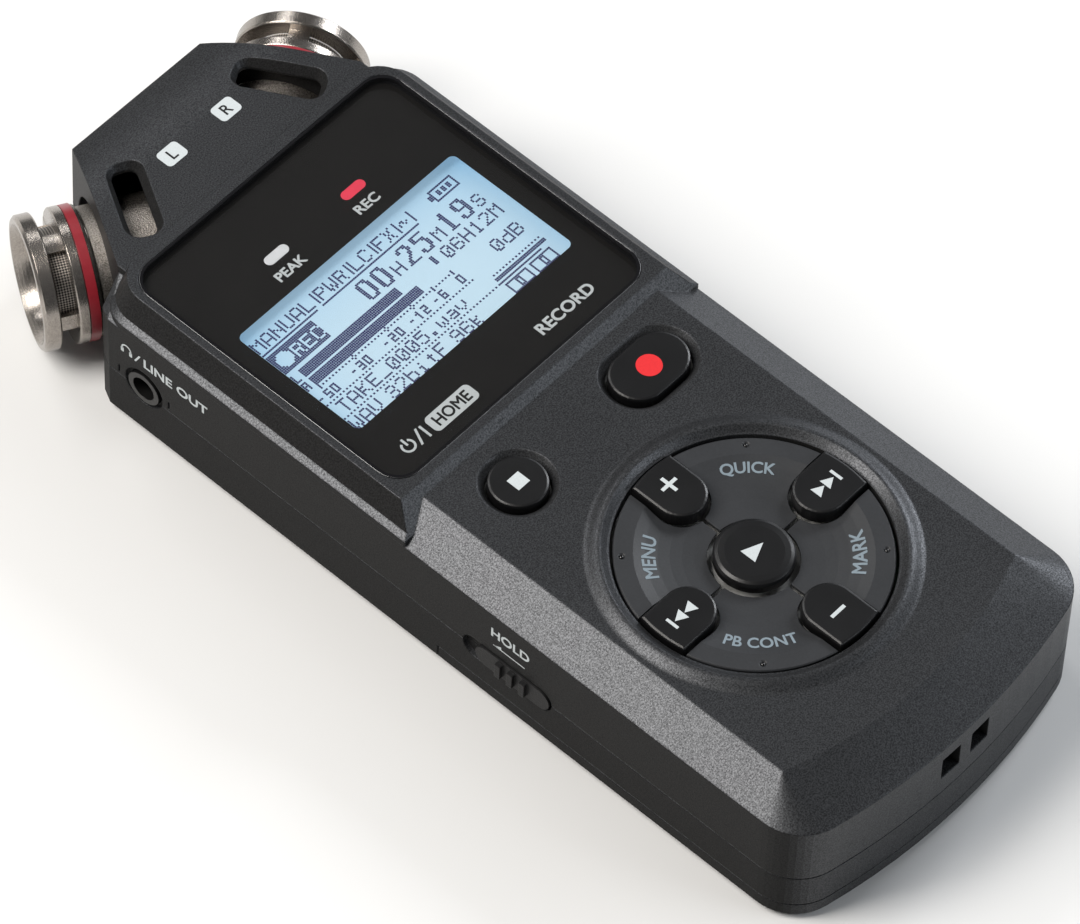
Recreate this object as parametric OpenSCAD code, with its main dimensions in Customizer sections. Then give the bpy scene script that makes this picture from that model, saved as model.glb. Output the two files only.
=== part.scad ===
// Portable stereo field recorder, lying on its back.
// +X is its right-hand side, +Y points to the microphones and +Z out of its keys.
// Lengths along Y are measured from the strap end, then lay() centres the part.

/* [Case] */
// Width of the case across its side walls
case_w = 54.4; // [50:0.1:60]
// Length of the case from the strap end to the flat end of the head
case_l = 140; // [132:0.5:148]
// Height of the key deck above the back
deck_z = 22; // [20:0.1:24]
// Height of the display frame above the back
frame_z = 23.2; // [21:0.1:26]
// Height of the parting line between the two case halves
seam_z = 9; // [7:0.1:12]
// Thickness of the moulded walls
wall = 1.6; // [1.2:0.1:2.4]
// Width left across the deck by the two long chamfers
deck_w = 43.4; // [38:0.1:48]
// Height at which the long chamfers leave the side walls
chamfer_z = 18.85; // [16:0.05:20]
// Radius of the strap end in plan
end_r = 97; // [60:1:140]
// Radius of the corners of the strap end
corner_r = 7; // [4:0.5:10]

/* [Display] */
// Width of the display window
glass_w = 46.5; // [42:0.1:50]
// Length of the display window
glass_l = 46.2; // [40:0.1:50]
// Distance from the strap end to the window's lower edge
glass_y = 72.4; // [70:0.1:76]
// Thickness of the display window
glass_t = 1.2; // [0.8:0.1:2]

/* [Keys] */
// Distance from the strap end to the middle of the round pad
pad_y = 34.7; // [30:0.1:40]
// Radius of the round pad over its keys
pad_r = 17.4; // [15:0.1:19]
// Radius of the play key
play_r = 5.15; // [4:0.05:6]
// Width of the four cursor keys
cursor_w = 7; // [6:0.1:8]
// Distance of the record and stop keys from the centre line
key_x = 12.1; // [10:0.1:14]
// Distance from the strap end to the record and stop keys
key_y = 62.8; // [58:0.1:66]
// How far a key goes down
key_travel = 0.5; // [0.2:0.05:0.8]
// Gap between keys that move past each other
key_gap = 0.4; // [0.2:0.05:0.5]

/* [Hold switch] */
// Distance from the strap end to the slider's lower end
hold_y = 43.4; // [40:0.1:60]
// Length of the slider
hold_l = 12.2; // [8:0.1:16]
// How far the slider moves towards the microphones
hold_travel = 2; // [1:0.1:3]

/* [Microphones] */
// Angle between each microphone's axis and the recorder's length
mic_angle = 60; // [30:1:75]
// Distance of each microphone's datum from the centre line
mic_x = 17; // [14:0.1:20]
// Distance from the strap end to the microphones' datum
mic_y = 129.35; // [120:0.05:135]
// Height of the microphones' axes above the back
mic_z = 10; // [9:0.1:12]
// Radius of the front ring
mic_r = 8.95; // [7:0.05:10]
// Radius of the blasted barrel
barrel_r = 8.2; // [6:0.1:9]

/* [Power and sockets] */
// Diameter of an AA cell
cell_d = 14.2; // [13.5:0.1:14.5]
// Length of an AA cell over its button
cell_l = 50.2; // [49.5:0.1:50.5]
// Radius of the tapped hole for a quarter-inch tripod screw
tripod_r = 2.6; // [2.5:0.05:2.7]
// Depth of the tapped hole
tripod_depth = 4.8; // [4:0.1:6]
// Radius of the hole in each audio jack
jack_r = 1.8; // [1.75:0.01:1.9]

/* [Hidden] */
$fn = 64;
eps = 0.01;
half_w = case_w / 2;
// the length over the microphones, which lay() centres on the origin
mic_front = 10;
ring_rim = mic_front - 0.4;
total_l = mic_y + ring_rim * cos(mic_angle) + mic_r * sin(mic_angle);

// display frame: half widths and heights of its three edges
frame_x = 24.5;
frame_slope_x = 26.28;
frame_slope_z = 20.45;
shoulder_z = 19.87;
frame_y = 71.05;
frame_top_y = 120.5;
frame_fall = 0.967;
glass_top = frame_z + 0.05;
glass_under = glass_top - glass_t;
glass_r = 3.6;
glass_mid_y = glass_y + glass_l / 2;

// head: its plan corners and the fall of its top
head_root = [22.34, 121.3];
head_tip_x = 11.5;
head_z = 22.8;
head_bend_y = 128.6;
head_tip_z = 20.3;
// radius of the long curve that lets the head's top fall to its tip
head_drop = head_z - head_tip_z;
head_run = case_l - 0.4 - head_bend_y;
head_fall_r = (head_run * head_run + head_drop * head_drop) / (2 * head_drop);

// sound slots over the microphones, measured along and across them
slot_l = 12.6;
slot_w = 5.2;
slot_bevel = 0.85;
slot_r = 2.1;
slot_s = -4.3;

// inside
deck_under = deck_z - 1.8;
board_z = 17.6;
board_t = 1;
io_board_z = 5.6;
io_board_t = 1;
io_z = io_board_z + io_board_t;
door_z = 3.2;
door_gap = 0.2;
door_t = 1.5;
door_l = 61.8;
tongue_x = 20.5;
tongue_w = 4.8;
tongue_z = 2.15;
bay_x = 14.9;
bay_y = 6.3;
bay_l = 54;
bay_top = 16.4;
bay_wall = 1.1;
cell_x = cell_d / 2 + 0.15;
cell_z = 1.9 + cell_d / 2;
spring_l = 2.9;
contact_t = 0.4;
mat_t = 0.5;
dome_h = 0.5;
stem_z = board_z + board_t + mat_t + dome_h + key_travel + 0.1;

// keys
pad_well_r = pad_r + key_gap;
pad_rim_r = 19.05;
pad_rim_z = deck_z + 0.75;
pad_foot_r = 21.3;
sector_top = 21.9;
sector_low = 20.75;
sector_split = 0.27;
pip_r = 16.3;
dish_r = 14.9;
cursor_top = 22.8;
cursor_mid = 12.2;
key_floor = 20.7;
round_key_r = 3.9;
record_half = 2;
well_gap = 0.28;
dish_rim_r = 5.1;
dish_floor = 21;
side_key_top = 22.35;

// side fittings
hold_h = 3.4;
hold_deep = 0.7;
hold_mid = hold_y + hold_l / 2;
phones_y = 112.3;
jack_z = 10;
flange_r = 2.6;
card_y = 84;
cover_l = 15.4;
cover_h = 5;
cover_t = 1.2;
cover_z = 7.9;
card_l = 15;
card_w = 11;
card_t = 0.8;
usb_y = 108.4;
usb_w = 8.94;
usb_h = 3.2;
usb_l = 7.3;
usb_z = io_z + usb_h / 2;
strap_x = 2.7;
strap_w = 3.3;
strap_h = 4.2;
strap_z = 14.5;
strap_block_w = 12.4;
strap_block_y = 5.1;
strap_bar_t = 2;
speaker_y = 91;
speaker_r = 9;
tripod_y = 71;
nut_r = 4.6;
screw_r = 0.95;
screws = [[22.6, 66.4, 0], [7.5, 118.8, 0], [22.4, 9.2, door_z + door_gap]];
lamp_x = 7.05;
lamp_y = 108.5;

// puts a piece drawn from the strap end into the part's own frame
module lay() {
    translate([0, -total_l / 2, 0]) children();
}

// the same piece on both sides of the centre line
module both_sides() {
    children();
    mirror([1, 0, 0]) children();
}

// a box centred on X, from y0 over length l and from z0 over height h
module slab(w, y0, l, z0, h) {
    translate([-w / 2, y0, z0]) cube([w, l, h]);
}

// a rectangle with round corners, centred
module round_rect(w, l, r) {
    square([w, l - 2 * r], center = true);
    square([w - 2 * r, l], center = true);
    for (x = [-1, 1], y = [-1, 1]) translate([x * (w / 2 - r), y * (l / 2 - r)]) circle(r = r);
}

// a bar with round ends along X, centred
module obround(w, h) {
    square([w - h, h], center = true);
    for (side = [-1, 1]) translate([side * (w - h) / 2, 0]) circle(d = h);
}

// a frame whose +Z runs out along one microphone's axis
module mic_frame(side) {
    translate([side * mic_x, mic_y, mic_z])
        rotate([0, 0, -side * mic_angle]) rotate([-90, 0, 0]) children();
}

// a frame on the side wall: +Z points out of the case, +X along it and +Y up
module side_frame(side, y, z) {
    translate([side * half_w, y, z]) rotate([90, 0, side * 90]) children();
}

// points of an arc around a centre
function arc(centre, r, from, to, steps) =
    [for (i = [0:steps]) centre + r * [cos(from + (to - from) * i / steps),
                                       sin(from + (to - from) * i / steps)]];

// plan of the case up to the head, drawn in by d
corner_x = half_w - corner_r;
corner_y = end_r - sqrt(pow(end_r - corner_r, 2) - corner_x * corner_x);
end_turn = atan2(corner_x, end_r - corner_y);
module case_plan(d) {
    polygon(concat(
        arc([-corner_x, corner_y], corner_r - d, 180, 270 - end_turn, 10),
        arc([0, end_r], end_r - d, 270 - end_turn, 270 + end_turn, 12),
        arc([corner_x, corner_y], corner_r - d, 270 + end_turn, 360, 10),
        [[half_w - d, 118.4 - d], [half_w - 1 - d, 120.3 - d], [head_root[0] - d, 121.3 - d],
         [-head_root[0] + d, 121.3 - d], [-half_w + 1 + d, 120.3 - d], [-half_w + d, 118.4 - d]]));
}

// plan of the deck between the chamfers
deck_end_y = 7.2;
deck_end_r = 61.4;
deck_turn = asin(deck_w / 2 / deck_end_r);
module deck_plan(d) {
    polygon(concat(
        arc([0, deck_end_y + deck_end_r], deck_end_r - d, 270 - deck_turn, 270 + deck_turn, 12),
        [[deck_w / 2 - d, 121.3 - d], [-deck_w / 2 + d, 121.3 - d]]));
}

// plan of the head, drawn in by d
module head_plan(d) {
    polygon([[-head_root[0] + d * 1.15, 121.3 - d], [-head_tip_x + d * 0.6, case_l - d],
             [head_tip_x - d * 0.6, case_l - d], [head_root[0] - d * 1.15, 121.3 - d],
             [head_root[0] - d * 1.15, 112], [-head_root[0] + d * 1.15, 112]]);
}

// side view of the head: a flat top that falls in a long curve to the tip
module head_side(d) {
    rotate([90, 0, 90]) linear_extrude(60, center = true) polygon(concat(
        [[110, seam_z - 0.2 - d], [case_l - d, seam_z - 0.2 - d]],
        arc([head_bend_y, head_z - head_fall_r], head_fall_r - d,
            90 - asin(head_run / head_fall_r), 90, 8),
        [[110, head_z - d]]));
}

// a tool shape that stands in both microphone openings
module mic_cuts(clear) {
    for (side = [-1, 1]) mic_frame(side) {
        translate([0, 0, -9.4]) cylinder(r = barrel_r + clear, h = 11);
        translate([0, 0, -0.9]) cylinder(r = mic_r + 0.3, h = 20);
    }
}

// a sound slot with a bevelled rim, through the top of the head
module sound_slot(side) {
    mic_frame(side) translate([0, 0, slot_s]) rotate([90, 0, 0]) {
        translate([0, 0, 8]) linear_extrude(9)
            round_rect(slot_l - 2 * slot_bevel, slot_w - 2 * slot_bevel, slot_r - slot_bevel);
        translate([0, 0, head_z - mic_z - 1.3]) hull() for (x = [-1, 1], y = [-1, 1])
            translate([x * (slot_l / 2 - slot_r), y * (slot_w / 2 - slot_r), 0])
                cylinder(r1 = slot_r - slot_bevel, r2 = slot_r, h = 1.3 + eps, $fn = 32);
    }
}

// the well that the record or stop key stands in, half_l longer each way than round
module key_well(half_l) {
    well_r = round_key_r + well_gap;
    for (x = half_l > 0 ? [-half_l, half_l] : [0]) translate([x, 0, 0]) {
        translate([0, 0, dish_floor - 3]) cylinder(r = well_r, h = 4);
        translate([0, 0, dish_floor])
            cylinder(r1 = well_r, r2 = dish_rim_r, h = deck_z - dish_floor + eps);
    }
    if (half_l > 0) rotate([90, 0, 90]) linear_extrude(2 * half_l, center = true)
        polygon([[-well_r, dish_floor - 3], [well_r, dish_floor - 3], [well_r, dish_floor],
                 [dish_rim_r, deck_z + eps], [-dish_rim_r, deck_z + eps], [-well_r, dish_floor]]);
}

// everything that opens through the walls on the parting line
module seam_cuts() {
    // hold slider's shallow pocket and its stem's way in
    side_frame(-1, hold_mid + hold_travel / 2, seam_z) {
        translate([0, 0, -hold_deep]) linear_extrude(2)
            obround(hold_l + hold_travel + 0.6, hold_h + 0.6);
        cube([6.4 + hold_travel, 2, 8], center = true);
    }
    side_frame(-1, phones_y, jack_z) {
        cylinder(r = flange_r + 0.1, h = 8, center = true);
        translate([0, 0, -0.5]) cylinder(r = 3.25, h = 2);
        // two short slits beside the jack
        for (side = [-1, 1]) translate([side * 4.3, 0.3, 0]) cube([0.3, 1.5, 0.8], center = true);
    }
    translate([0, case_l, jack_z]) rotate([90, 0, 0])
        cylinder(r = flange_r + 0.1, h = 8, center = true);
    side_frame(1, usb_y, usb_z) translate([0, 0, -4]) linear_extrude(8)
        obround(usb_w + 0.5, usb_h + 0.5);
    // card cover's pocket, with the card's slot in its floor
    side_frame(1, card_y + cover_l / 2, cover_z) {
        translate([0, 0, (2 - cover_t - 0.1) / 2])
            cube([cover_l + 0.6, cover_h + 0.6, 2 + cover_t + 0.1], center = true);
        translate([0.9, io_z + 0.9 - cover_z, -2]) cube([card_w + 0.8, 1.5, 8], center = true);
    }
}

// --- case -------------------------------------------------------------------

module case_bosses(z0, z1) {
    for (p = screws) both_sides() translate([p[0], p[1], z0]) cylinder(r = 2.5, h = z1 - z0);
}

module front_outer() {
    hull() {
        translate([0, 0, seam_z]) linear_extrude(chamfer_z - seam_z) case_plan(0);
        translate([0, 0, deck_z - eps]) linear_extrude(eps) deck_plan(0);
    }
    // display frame: a shoulder along each wall, then steep sides up to its flat top
    hull() {
        translate([0, 0, shoulder_z - 1]) linear_extrude(1)
            frame_plan(half_w, frame_top_y + 0.4, shoulder_z);
        translate([0, 0, frame_slope_z]) linear_extrude(eps)
            frame_plan(frame_slope_x, frame_top_y + 0.3, frame_slope_z);
    }
    hull() {
        translate([0, 0, frame_slope_z]) linear_extrude(eps)
            frame_plan(frame_slope_x, frame_top_y + 0.3, frame_slope_z);
        translate([0, 0, frame_z - eps]) linear_extrude(eps) frame_plan(frame_x, frame_top_y, frame_z);
    }
    intersection() {
        translate([0, 0, seam_z]) linear_extrude(20) head_plan(0);
        head_side(0);
    }
    // raised ridge around the round pad: it swells out of the deck and falls steeply to the keys
    translate([0, pad_y, 0]) rotate_extrude($fn = 96) polygon(concat(
        [[pad_well_r - 0.5, deck_z - 1], [pad_foot_r, deck_z - 1]],
        [for (i = [0:8]) let (t = i / 8)
            [pad_foot_r - (pad_foot_r - pad_rim_r) * t,
             deck_z - 0.02 + (pad_rim_z - deck_z + 0.02) * (1 - cos(180 * t)) / 2]],
        [[pad_rim_r - 0.1, pad_rim_z], [pad_well_r, deck_z - 0.15], [pad_well_r - 0.5, deck_z - 0.5]]));
}

// one level of the display frame, from its sloping lower end to its round upper corners
module frame_plan(x, top, z) {
    low = frame_y - (frame_z - z) * frame_fall;
    translate([-x, low]) square([2 * x, 20]);
    for (side = [-1, 1]) translate([side * (x - 5), top - 5]) circle(r = 5, $fn = 40);
}

module front_inner() {
    difference() {
        union() {
            hull() {
                translate([0, 0, seam_z - 1]) linear_extrude(chamfer_z - seam_z + 0.4) case_plan(wall);
                translate([0, 0, deck_under - eps]) linear_extrude(eps) deck_plan(wall + 0.4);
            }
            intersection() {
                translate([0, 0, seam_z - 1]) linear_extrude(20) head_plan(wall);
                head_side(wall);
            }
        }
        case_bosses(seam_z, deck_z);
        // the strap's bar has a closed pocket behind it
        slab(strap_block_w, 0, strap_block_y, strap_z - strap_h / 2 - 1.2, 12);
    }
}

module front_shell() {
    color([0.24, 0.25, 0.26]) lay() difference() {
        front_outer();
        front_inner();
        translate([0, pad_y, deck_under - 1]) cylinder(r = pad_well_r, h = 6);
        translate([key_x, key_y, 0]) key_well(record_half);
        translate([-key_x, key_y, 0]) key_well(0);
        // seat of the display window, the panel's opening and the two lamp holes
        translate([0, glass_mid_y, glass_under - 0.05]) linear_extrude(4)
            round_rect(glass_w + 0.3, glass_l + 0.3, glass_r);
        slab(42.6, 79.6, 28 - eps, 18, 6);
        for (side = [-1, 1]) translate([side * lamp_x, lamp_y + 0.7, 18]) linear_extrude(6)
            obround(3.4, 1.8);
        mic_cuts(0.05);
        for (side = [-1, 1]) sound_slot(side);
        seam_cuts();
        // two square strap holes that meet behind the bar
        for (side = [-1, 1]) slab_at(side * strap_x, strap_w, -1, 4, strap_z, strap_h);
        slab(2 * strap_x + strap_w, strap_bar_t, strap_block_y - strap_bar_t - 0.8,
             strap_z - strap_h / 2, strap_h);
        for (p = screws) both_sides() translate([p[0], p[1], seam_z - 1]) cylinder(r = screw_r, h = 6);
        // fine groove along the parting line
        seam_groove();
    }
}

// a box centred on x and z, from y0 over length l
module slab_at(x, w, y0, l, z, h) {
    translate([x - w / 2, y0, z - h / 2]) cube([w, l, h]);
}

// the shadow line between the halves: a thin ring around the case at the seam
module seam_groove() {
    translate([0, 0, seam_z - 0.01]) difference() {
        slab(90, -10, 200, 0, 0.21);
        translate([0, 0, -1]) linear_extrude(3) union() {
            case_plan(0.35);
            head_plan(0.35);
        }
    }
}

module back_outer() {
    hull() {
        linear_extrude(eps) case_plan(1.3);
        translate([0, 0, 0.45]) linear_extrude(eps) case_plan(0.45);
        translate([0, 0, 1.3]) linear_extrude(seam_z - 1.3) case_plan(0);
    }
    hull() {
        linear_extrude(eps) head_plan(1.3);
        translate([0, 0, 0.45]) linear_extrude(eps) head_plan(0.45);
        translate([0, 0, 1.3]) linear_extrude(seam_z - 1.3) head_plan(0);
    }
}

module back_shell() {
    color([0.21, 0.22, 0.23]) lay() difference() {
        union() {
            difference() {
                back_outer();
                // room above the floor, and above the higher floor over the door
                translate([0, 0, wall]) linear_extrude(20) intersection() {
                    union() {
                        case_plan(wall);
                        head_plan(wall);
                    }
                    translate([-40, door_l + 1.6]) square([80, 100]);
                }
                translate([0, 0, door_z + 1.4]) linear_extrude(20) intersection() {
                    case_plan(wall);
                    translate([-40, -5]) square([80, door_l + 8]);
                }
            }
            // tub for the two cells
            bay_tub();
            intersection() {
                case_bosses(0, seam_z);
                back_outer();
            }
            // ring that holds the tripod nut and ring around the speaker
            translate([0, tripod_y, 0]) cylinder(r = nut_r + 1.4, h = 5.2);
            translate([0, speaker_y, 0]) cylinder(r = speaker_r + 1.2, h = 4);
            for (side = [-1, 1]) translate([side * 8, 110, 0]) cylinder(r = 1.8, h = io_board_z);
        }
        door_cut();
        slab(2 * bay_x, bay_y, bay_l, -1, bay_top + 1);
        mic_cuts(0.05);
        seam_cuts();
        translate([0, tripod_y, -1]) cylinder(r = nut_r, h = 10);
        translate([0, speaker_y, wall]) cylinder(r = speaker_r + 0.1, h = 10);
        speaker_holes();
        for (p = screws) both_sides() translate([p[0], p[1], p[2] - 1]) {
            cylinder(r = screw_r + 0.15, h = 12);
            cylinder(r = 2, h = 2.4);
        }
        for (side = [-1, 1]) translate([side * 8, 110, 2]) cylinder(r = 0.7, h = 8);
    }
}

// the tub's outside, down to just over the door
module bay_tub() {
    slab(2 * (bay_x + bay_wall), bay_y - bay_wall, bay_l + 2 * bay_wall, door_t + 0.25,
         bay_top + bay_wall - door_t - 0.25);
}

// room for the door's tray and the two tongues that hold its inner end
module door_cut() {
    difference() {
        slab(80, -5, 5 + door_l + door_gap, -1, 1 + door_z + door_gap);
        bay_tub();
    }
    for (side = [-1, 1]) slab_at(side * tongue_x, tongue_w + 0.6, door_l - 1.8, 4.2, tongue_z, 1.2);
}

module speaker_holes() {
    for (ring = [0:3], i = [0:max(0, 6 * ring - 1)])
        translate([0, speaker_y, -1]) rotate([0, 0, 360 * i / max(1, 6 * ring)])
            translate([ring * 2, 0, 0]) cylinder(r = 0.55, h = 4, $fn = 24);
}

module battery_door() {
    color([0.21, 0.22, 0.23]) lay() {
        difference() {
            back_outer();
            slab(80, door_l, 100, -1, 30);
            translate([0, 0, door_z]) linear_extrude(30) case_plan(-5);
            translate([0, 0, door_t]) linear_extrude(30) case_plan(wall);
            // thumb grip: five shallow grooves across the door
            for (i = [0:4]) slab(13, 49 + 1.7 * i, 0.8, -0.6, 1);
        }
        // tongues that slide under the back shell
        for (side = [-1, 1]) {
            slab_at(side * tongue_x, tongue_w, door_l - 2.4, 4, tongue_z, 0.8);
            slab_at(side * tongue_x, tongue_w, door_l - 2.4, 2.2, door_t + 0.2, 0.5);
        }
    }
}

// --- display ------------------------------------------------------------------

module display_window() {
    color([0.05, 0.05, 0.06]) lay() translate([0, glass_mid_y, glass_under])
        linear_extrude(glass_t) round_rect(glass_w, glass_l, glass_r - 0.15);
}

module lcd_panel() {
    color([0.68, 0.78, 0.84]) lay() {
        slab(41.8, 80.2, 26.8, glass_under - 1.9, 0.9);
        slab(41.8, 80.2, 23.4, glass_under - 1, 0.8);
    }
}

module lcd_frame() {
    color([0.9, 0.9, 0.88]) lay() difference() {
        slab(42.4, 79.8, 27.6, board_z + board_t, glass_under - 1.9 - board_z - board_t);
        for (x = [-14, 0, 14]) slab_at(x, 9, 90, 8, board_z + board_t, 0.8);
    }
}

module status_lamp() {
    translate([0, 0, board_z + board_t]) {
        linear_extrude(glass_under - 0.05 - board_z - board_t) obround(3, 1.4);
        linear_extrude(1) square([4, 2.2], center = true);
    }
}

module peak_lamp() {
    color([0.95, 0.95, 0.93]) lay() translate([-lamp_x, lamp_y + 0.7, 0]) status_lamp();
}

module record_lamp() {
    color([0.92, 0.25, 0.3]) lay() translate([lamp_x, lamp_y + 0.7, 0]) status_lamp();
}

// --- boards ---------------------------------------------------------------------

module main_board() {
    color([0.05, 0.3, 0.15]) lay() difference() {
        translate([0, 0, board_z]) linear_extrude(board_t) intersection() {
            case_plan(wall + 1.4);
            translate([-40, 9.4]) square([80, 105]);
        }
        for (p = screws) both_sides() translate([p[0], p[1], 10]) cylinder(r = 2.8, h = 20);
        for (y = [50, 77]) both_sides() translate([20, y, 10]) cylinder(r = 0.9, h = 20);
    }
}

module io_board() {
    color([0.05, 0.3, 0.15]) lay() difference() {
        union() {
            slab(49, 70, 45, io_board_z, io_board_t);
            slab(8, 114, 24, io_board_z, io_board_t);
        }
        for (p = screws) both_sides() translate([p[0], p[1], 0]) cylinder(r = 2.8, h = 20);
        for (side = [-1, 1]) translate([side * 8, 110, 0]) cylinder(r = 0.9, h = 20);
        translate([0, tripod_y, 0]) cylinder(r = nut_r + 1.8, h = 20);
    }
}

module board_link() {
    color([0.1, 0.1, 0.1]) lay() slab_at(-14, 4, 76, 16, (io_z + board_z) / 2, board_z - io_z);
}

module board_screws() {
    color("silver") lay() {
        for (side = [-1, 1]) translate([side * 8, 110, 0]) {
            translate([0, 0, 2.2]) cylinder(r = 0.7, h = io_z - 2.2);
            translate([0, 0, io_z]) cylinder(r = 1.4, h = 0.8);
        }
    }
}

module key_mat() {
    color([0.75, 0.75, 0.75]) lay() translate([0, 0, board_z + board_t]) {
        translate([0, pad_y, 0]) cylinder(r = pad_r, h = mat_t);
        slab(38, pad_y + 12, key_y + 5 - pad_y - 12, 0, mat_t);
        for (at = stems()) translate([at[0], at[1], 0]) cylinder(r1 = 2, r2 = 1.3, h = mat_t + dome_h);
    }
}

// places of the key stems: play, cursor keys, sector keys, record and stop
function stems() = concat(
    [[0, pad_y]],
    [for (a = [0:90:270]) [cursor_mid * cos(a), pad_y + cursor_mid * sin(a)]],
    [for (a = [45:90:315]) [11 * cos(a), pad_y + 11 * sin(a)]],
    [[key_x, key_y], [-key_x, key_y]]);

// --- keys -------------------------------------------------------------------------

module stem(x, y) {
    translate([x, y, stem_z]) cylinder(r = 1.2, h = key_floor - stem_z + 0.2);
}

// plan of a cursor key that points along +Y, grown by d
module cursor_plan(d) {
    intersection() {
        union() {
            translate([0, cursor_mid]) circle(d = cursor_w + 2 * d);
            translate([-cursor_w / 2 - d, cursor_mid]) square([cursor_w + 2 * d, 10]);
        }
        circle(r = pad_r, $fn = 96);
    }
}

module cursor_key(angle) {
    color([0.16, 0.16, 0.17]) lay() {
        translate([0, pad_y, 0]) rotate([0, 0, angle]) hull() {
            translate([0, 0, key_floor]) linear_extrude(cursor_top - key_floor - 0.3)
                cursor_plan(0, $fn = 32);
            translate([0, 0, cursor_top - 0.15]) linear_extrude(0.05) cursor_inset(0.1);
            translate([0, 0, cursor_top - 0.05]) linear_extrude(0.05) cursor_inset(0.35);
        }
        stem(-cursor_mid * sin(angle), pad_y + cursor_mid * cos(angle));
    }
}

// the cursor key's plan drawn in all round by d
module cursor_inset(d) {
    intersection() {
        cursor_plan(-d, $fn = 32);
        circle(r = pad_r - d, $fn = 96);
    }
}

module plus_key() cursor_key(0);
module rewind_key() cursor_key(90);
module minus_key() cursor_key(180);
module forward_key() cursor_key(270);

// dished quarter of the pad between two cursor keys, turned to its corner
module sector_key(angle) {
    color([0.2, 0.21, 0.22]) lay() {
        difference() {
            translate([0, pad_y, 0]) rotate([0, 0, angle]) intersection() {
                rotate_extrude($fn = 96) polygon(concat(
                    [[play_r + 0.65, key_floor - 0.4], [pad_r, key_floor - 0.4],
                     [pad_r, sector_top - 0.15], [pad_r - 0.15, sector_top],
                     [dish_r, sector_top]],
                    [for (i = [1:6]) let (t = i / 6)
                        [dish_r - (dish_r - play_r - 0.65) * t,
                         sector_top - (sector_top - sector_low) * (1 - pow(1 - t, 2.2))]]));
                translate([sector_split, sector_split, 10]) cube([30, 30, 20]);
            }
            translate([0, pad_y, 10]) rotate([0, 0, angle]) for (turn = [0, -90])
                rotate([0, 0, turn]) linear_extrude(20) cursor_plan(key_gap, $fn = 64);
            // small dimple near the rim
            translate([0, pad_y, 0]) rotate([0, 0, angle + 45])
                translate([pip_r, 0, sector_top - 0.3]) cylinder(r1 = 0.2, r2 = 0.5, h = 0.3 + eps);
        }
        stem(11 * cos(angle + 45), pad_y + 11 * sin(angle + 45));
    }
}

module quick_key() sector_key(0);
module menu_key() sector_key(90);
module playback_key() sector_key(180);
module mark_key() sector_key(270);

module play_key() {
    color([0.14, 0.14, 0.15]) lay() {
        translate([0, pad_y, 0]) rotate_extrude() polygon([
            [0, key_floor], [play_r, key_floor], [play_r, side_key_top - 0.6],
            [play_r - 0.2, side_key_top - 0.2], [play_r - 0.6, side_key_top],
            [play_r - 1.4, side_key_top + 0.08], [0, side_key_top + 0.12]]);
        stem(0, pad_y);
    }
}

module stop_key() {
    color([0.16, 0.16, 0.17]) lay() {
        translate([-key_x, key_y, 0]) rotate_extrude() polygon([
            [0, key_floor - 0.5], [round_key_r, key_floor - 0.5], [round_key_r, side_key_top - 0.35],
            [round_key_r - 0.1, side_key_top - 0.1], [round_key_r - 0.35, side_key_top],
            [0, side_key_top + 0.05]]);
        stem(-key_x, key_y);
    }
}

module record_key() {
    color([0.16, 0.16, 0.17]) lay() {
        hull() for (side = [-1, 1]) translate([key_x + side * record_half, key_y, 0]) {
            translate([0, 0, key_floor - 0.5])
                cylinder(r = round_key_r, h = side_key_top - key_floor + 0.15, $fn = 32);
            translate([0, 0, side_key_top - 0.15]) cylinder(r = round_key_r - 0.1, h = 0.05, $fn = 32);
            translate([0, 0, side_key_top - 0.05]) cylinder(r = round_key_r - 0.35, h = 0.05, $fn = 32);
        }
        stem(key_x, key_y);
    }
}

module hold_slider() {
    color([0.16, 0.16, 0.17]) lay() side_frame(-1, hold_mid, seam_z) {
        translate([0, 0, -0.4]) linear_extrude(0.6) obround(hold_l, hold_h);
        for (i = [-1:1]) translate([i * 2, 0, 0.45]) cube([0.9, hold_h - 0.9, 0.7], center = true);
        translate([0, 0, -2]) cube([6, 1.6, 3.4], center = true);
        translate([0, 0, -4.2]) cube([1.4, 1.2, 2], center = true);
    }
}

module hold_switch() {
    color("silver") lay() side_frame(-1, hold_mid + hold_travel / 2, seam_z) difference() {
        union() {
            translate([0, 0, -6.2]) cube([9, 4.4, 3.6], center = true);
            translate([-3, 0, -8]) cube([6, board_z - seam_z, 0.8]);
        }
        translate([0, 0, -4.6]) cube([1.4 + hold_travel + 0.8, 1.8, 2.8], center = true);
    }
}

// --- microphones --------------------------------------------------------------------

// stations along the axis, out from the datum
lip_s = 2.2;
band_s = 2.65;
ring_s = 3.95;
neck_s = 5.45;
front_s = 7.75;
neck_r = 7.5;

module mic_barrel(side) {
    color([0.62, 0.58, 0.54]) lay() mic_frame(side) difference() {
        translate([0, 0, -9]) cylinder(r = barrel_r, h = 10.9);
        translate([0, 0, -8]) cylinder(r = barrel_r - 0.8, h = 20);
        translate([0, 0, -10]) cylinder(r = 1.2, h = 5);
    }
}

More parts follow.
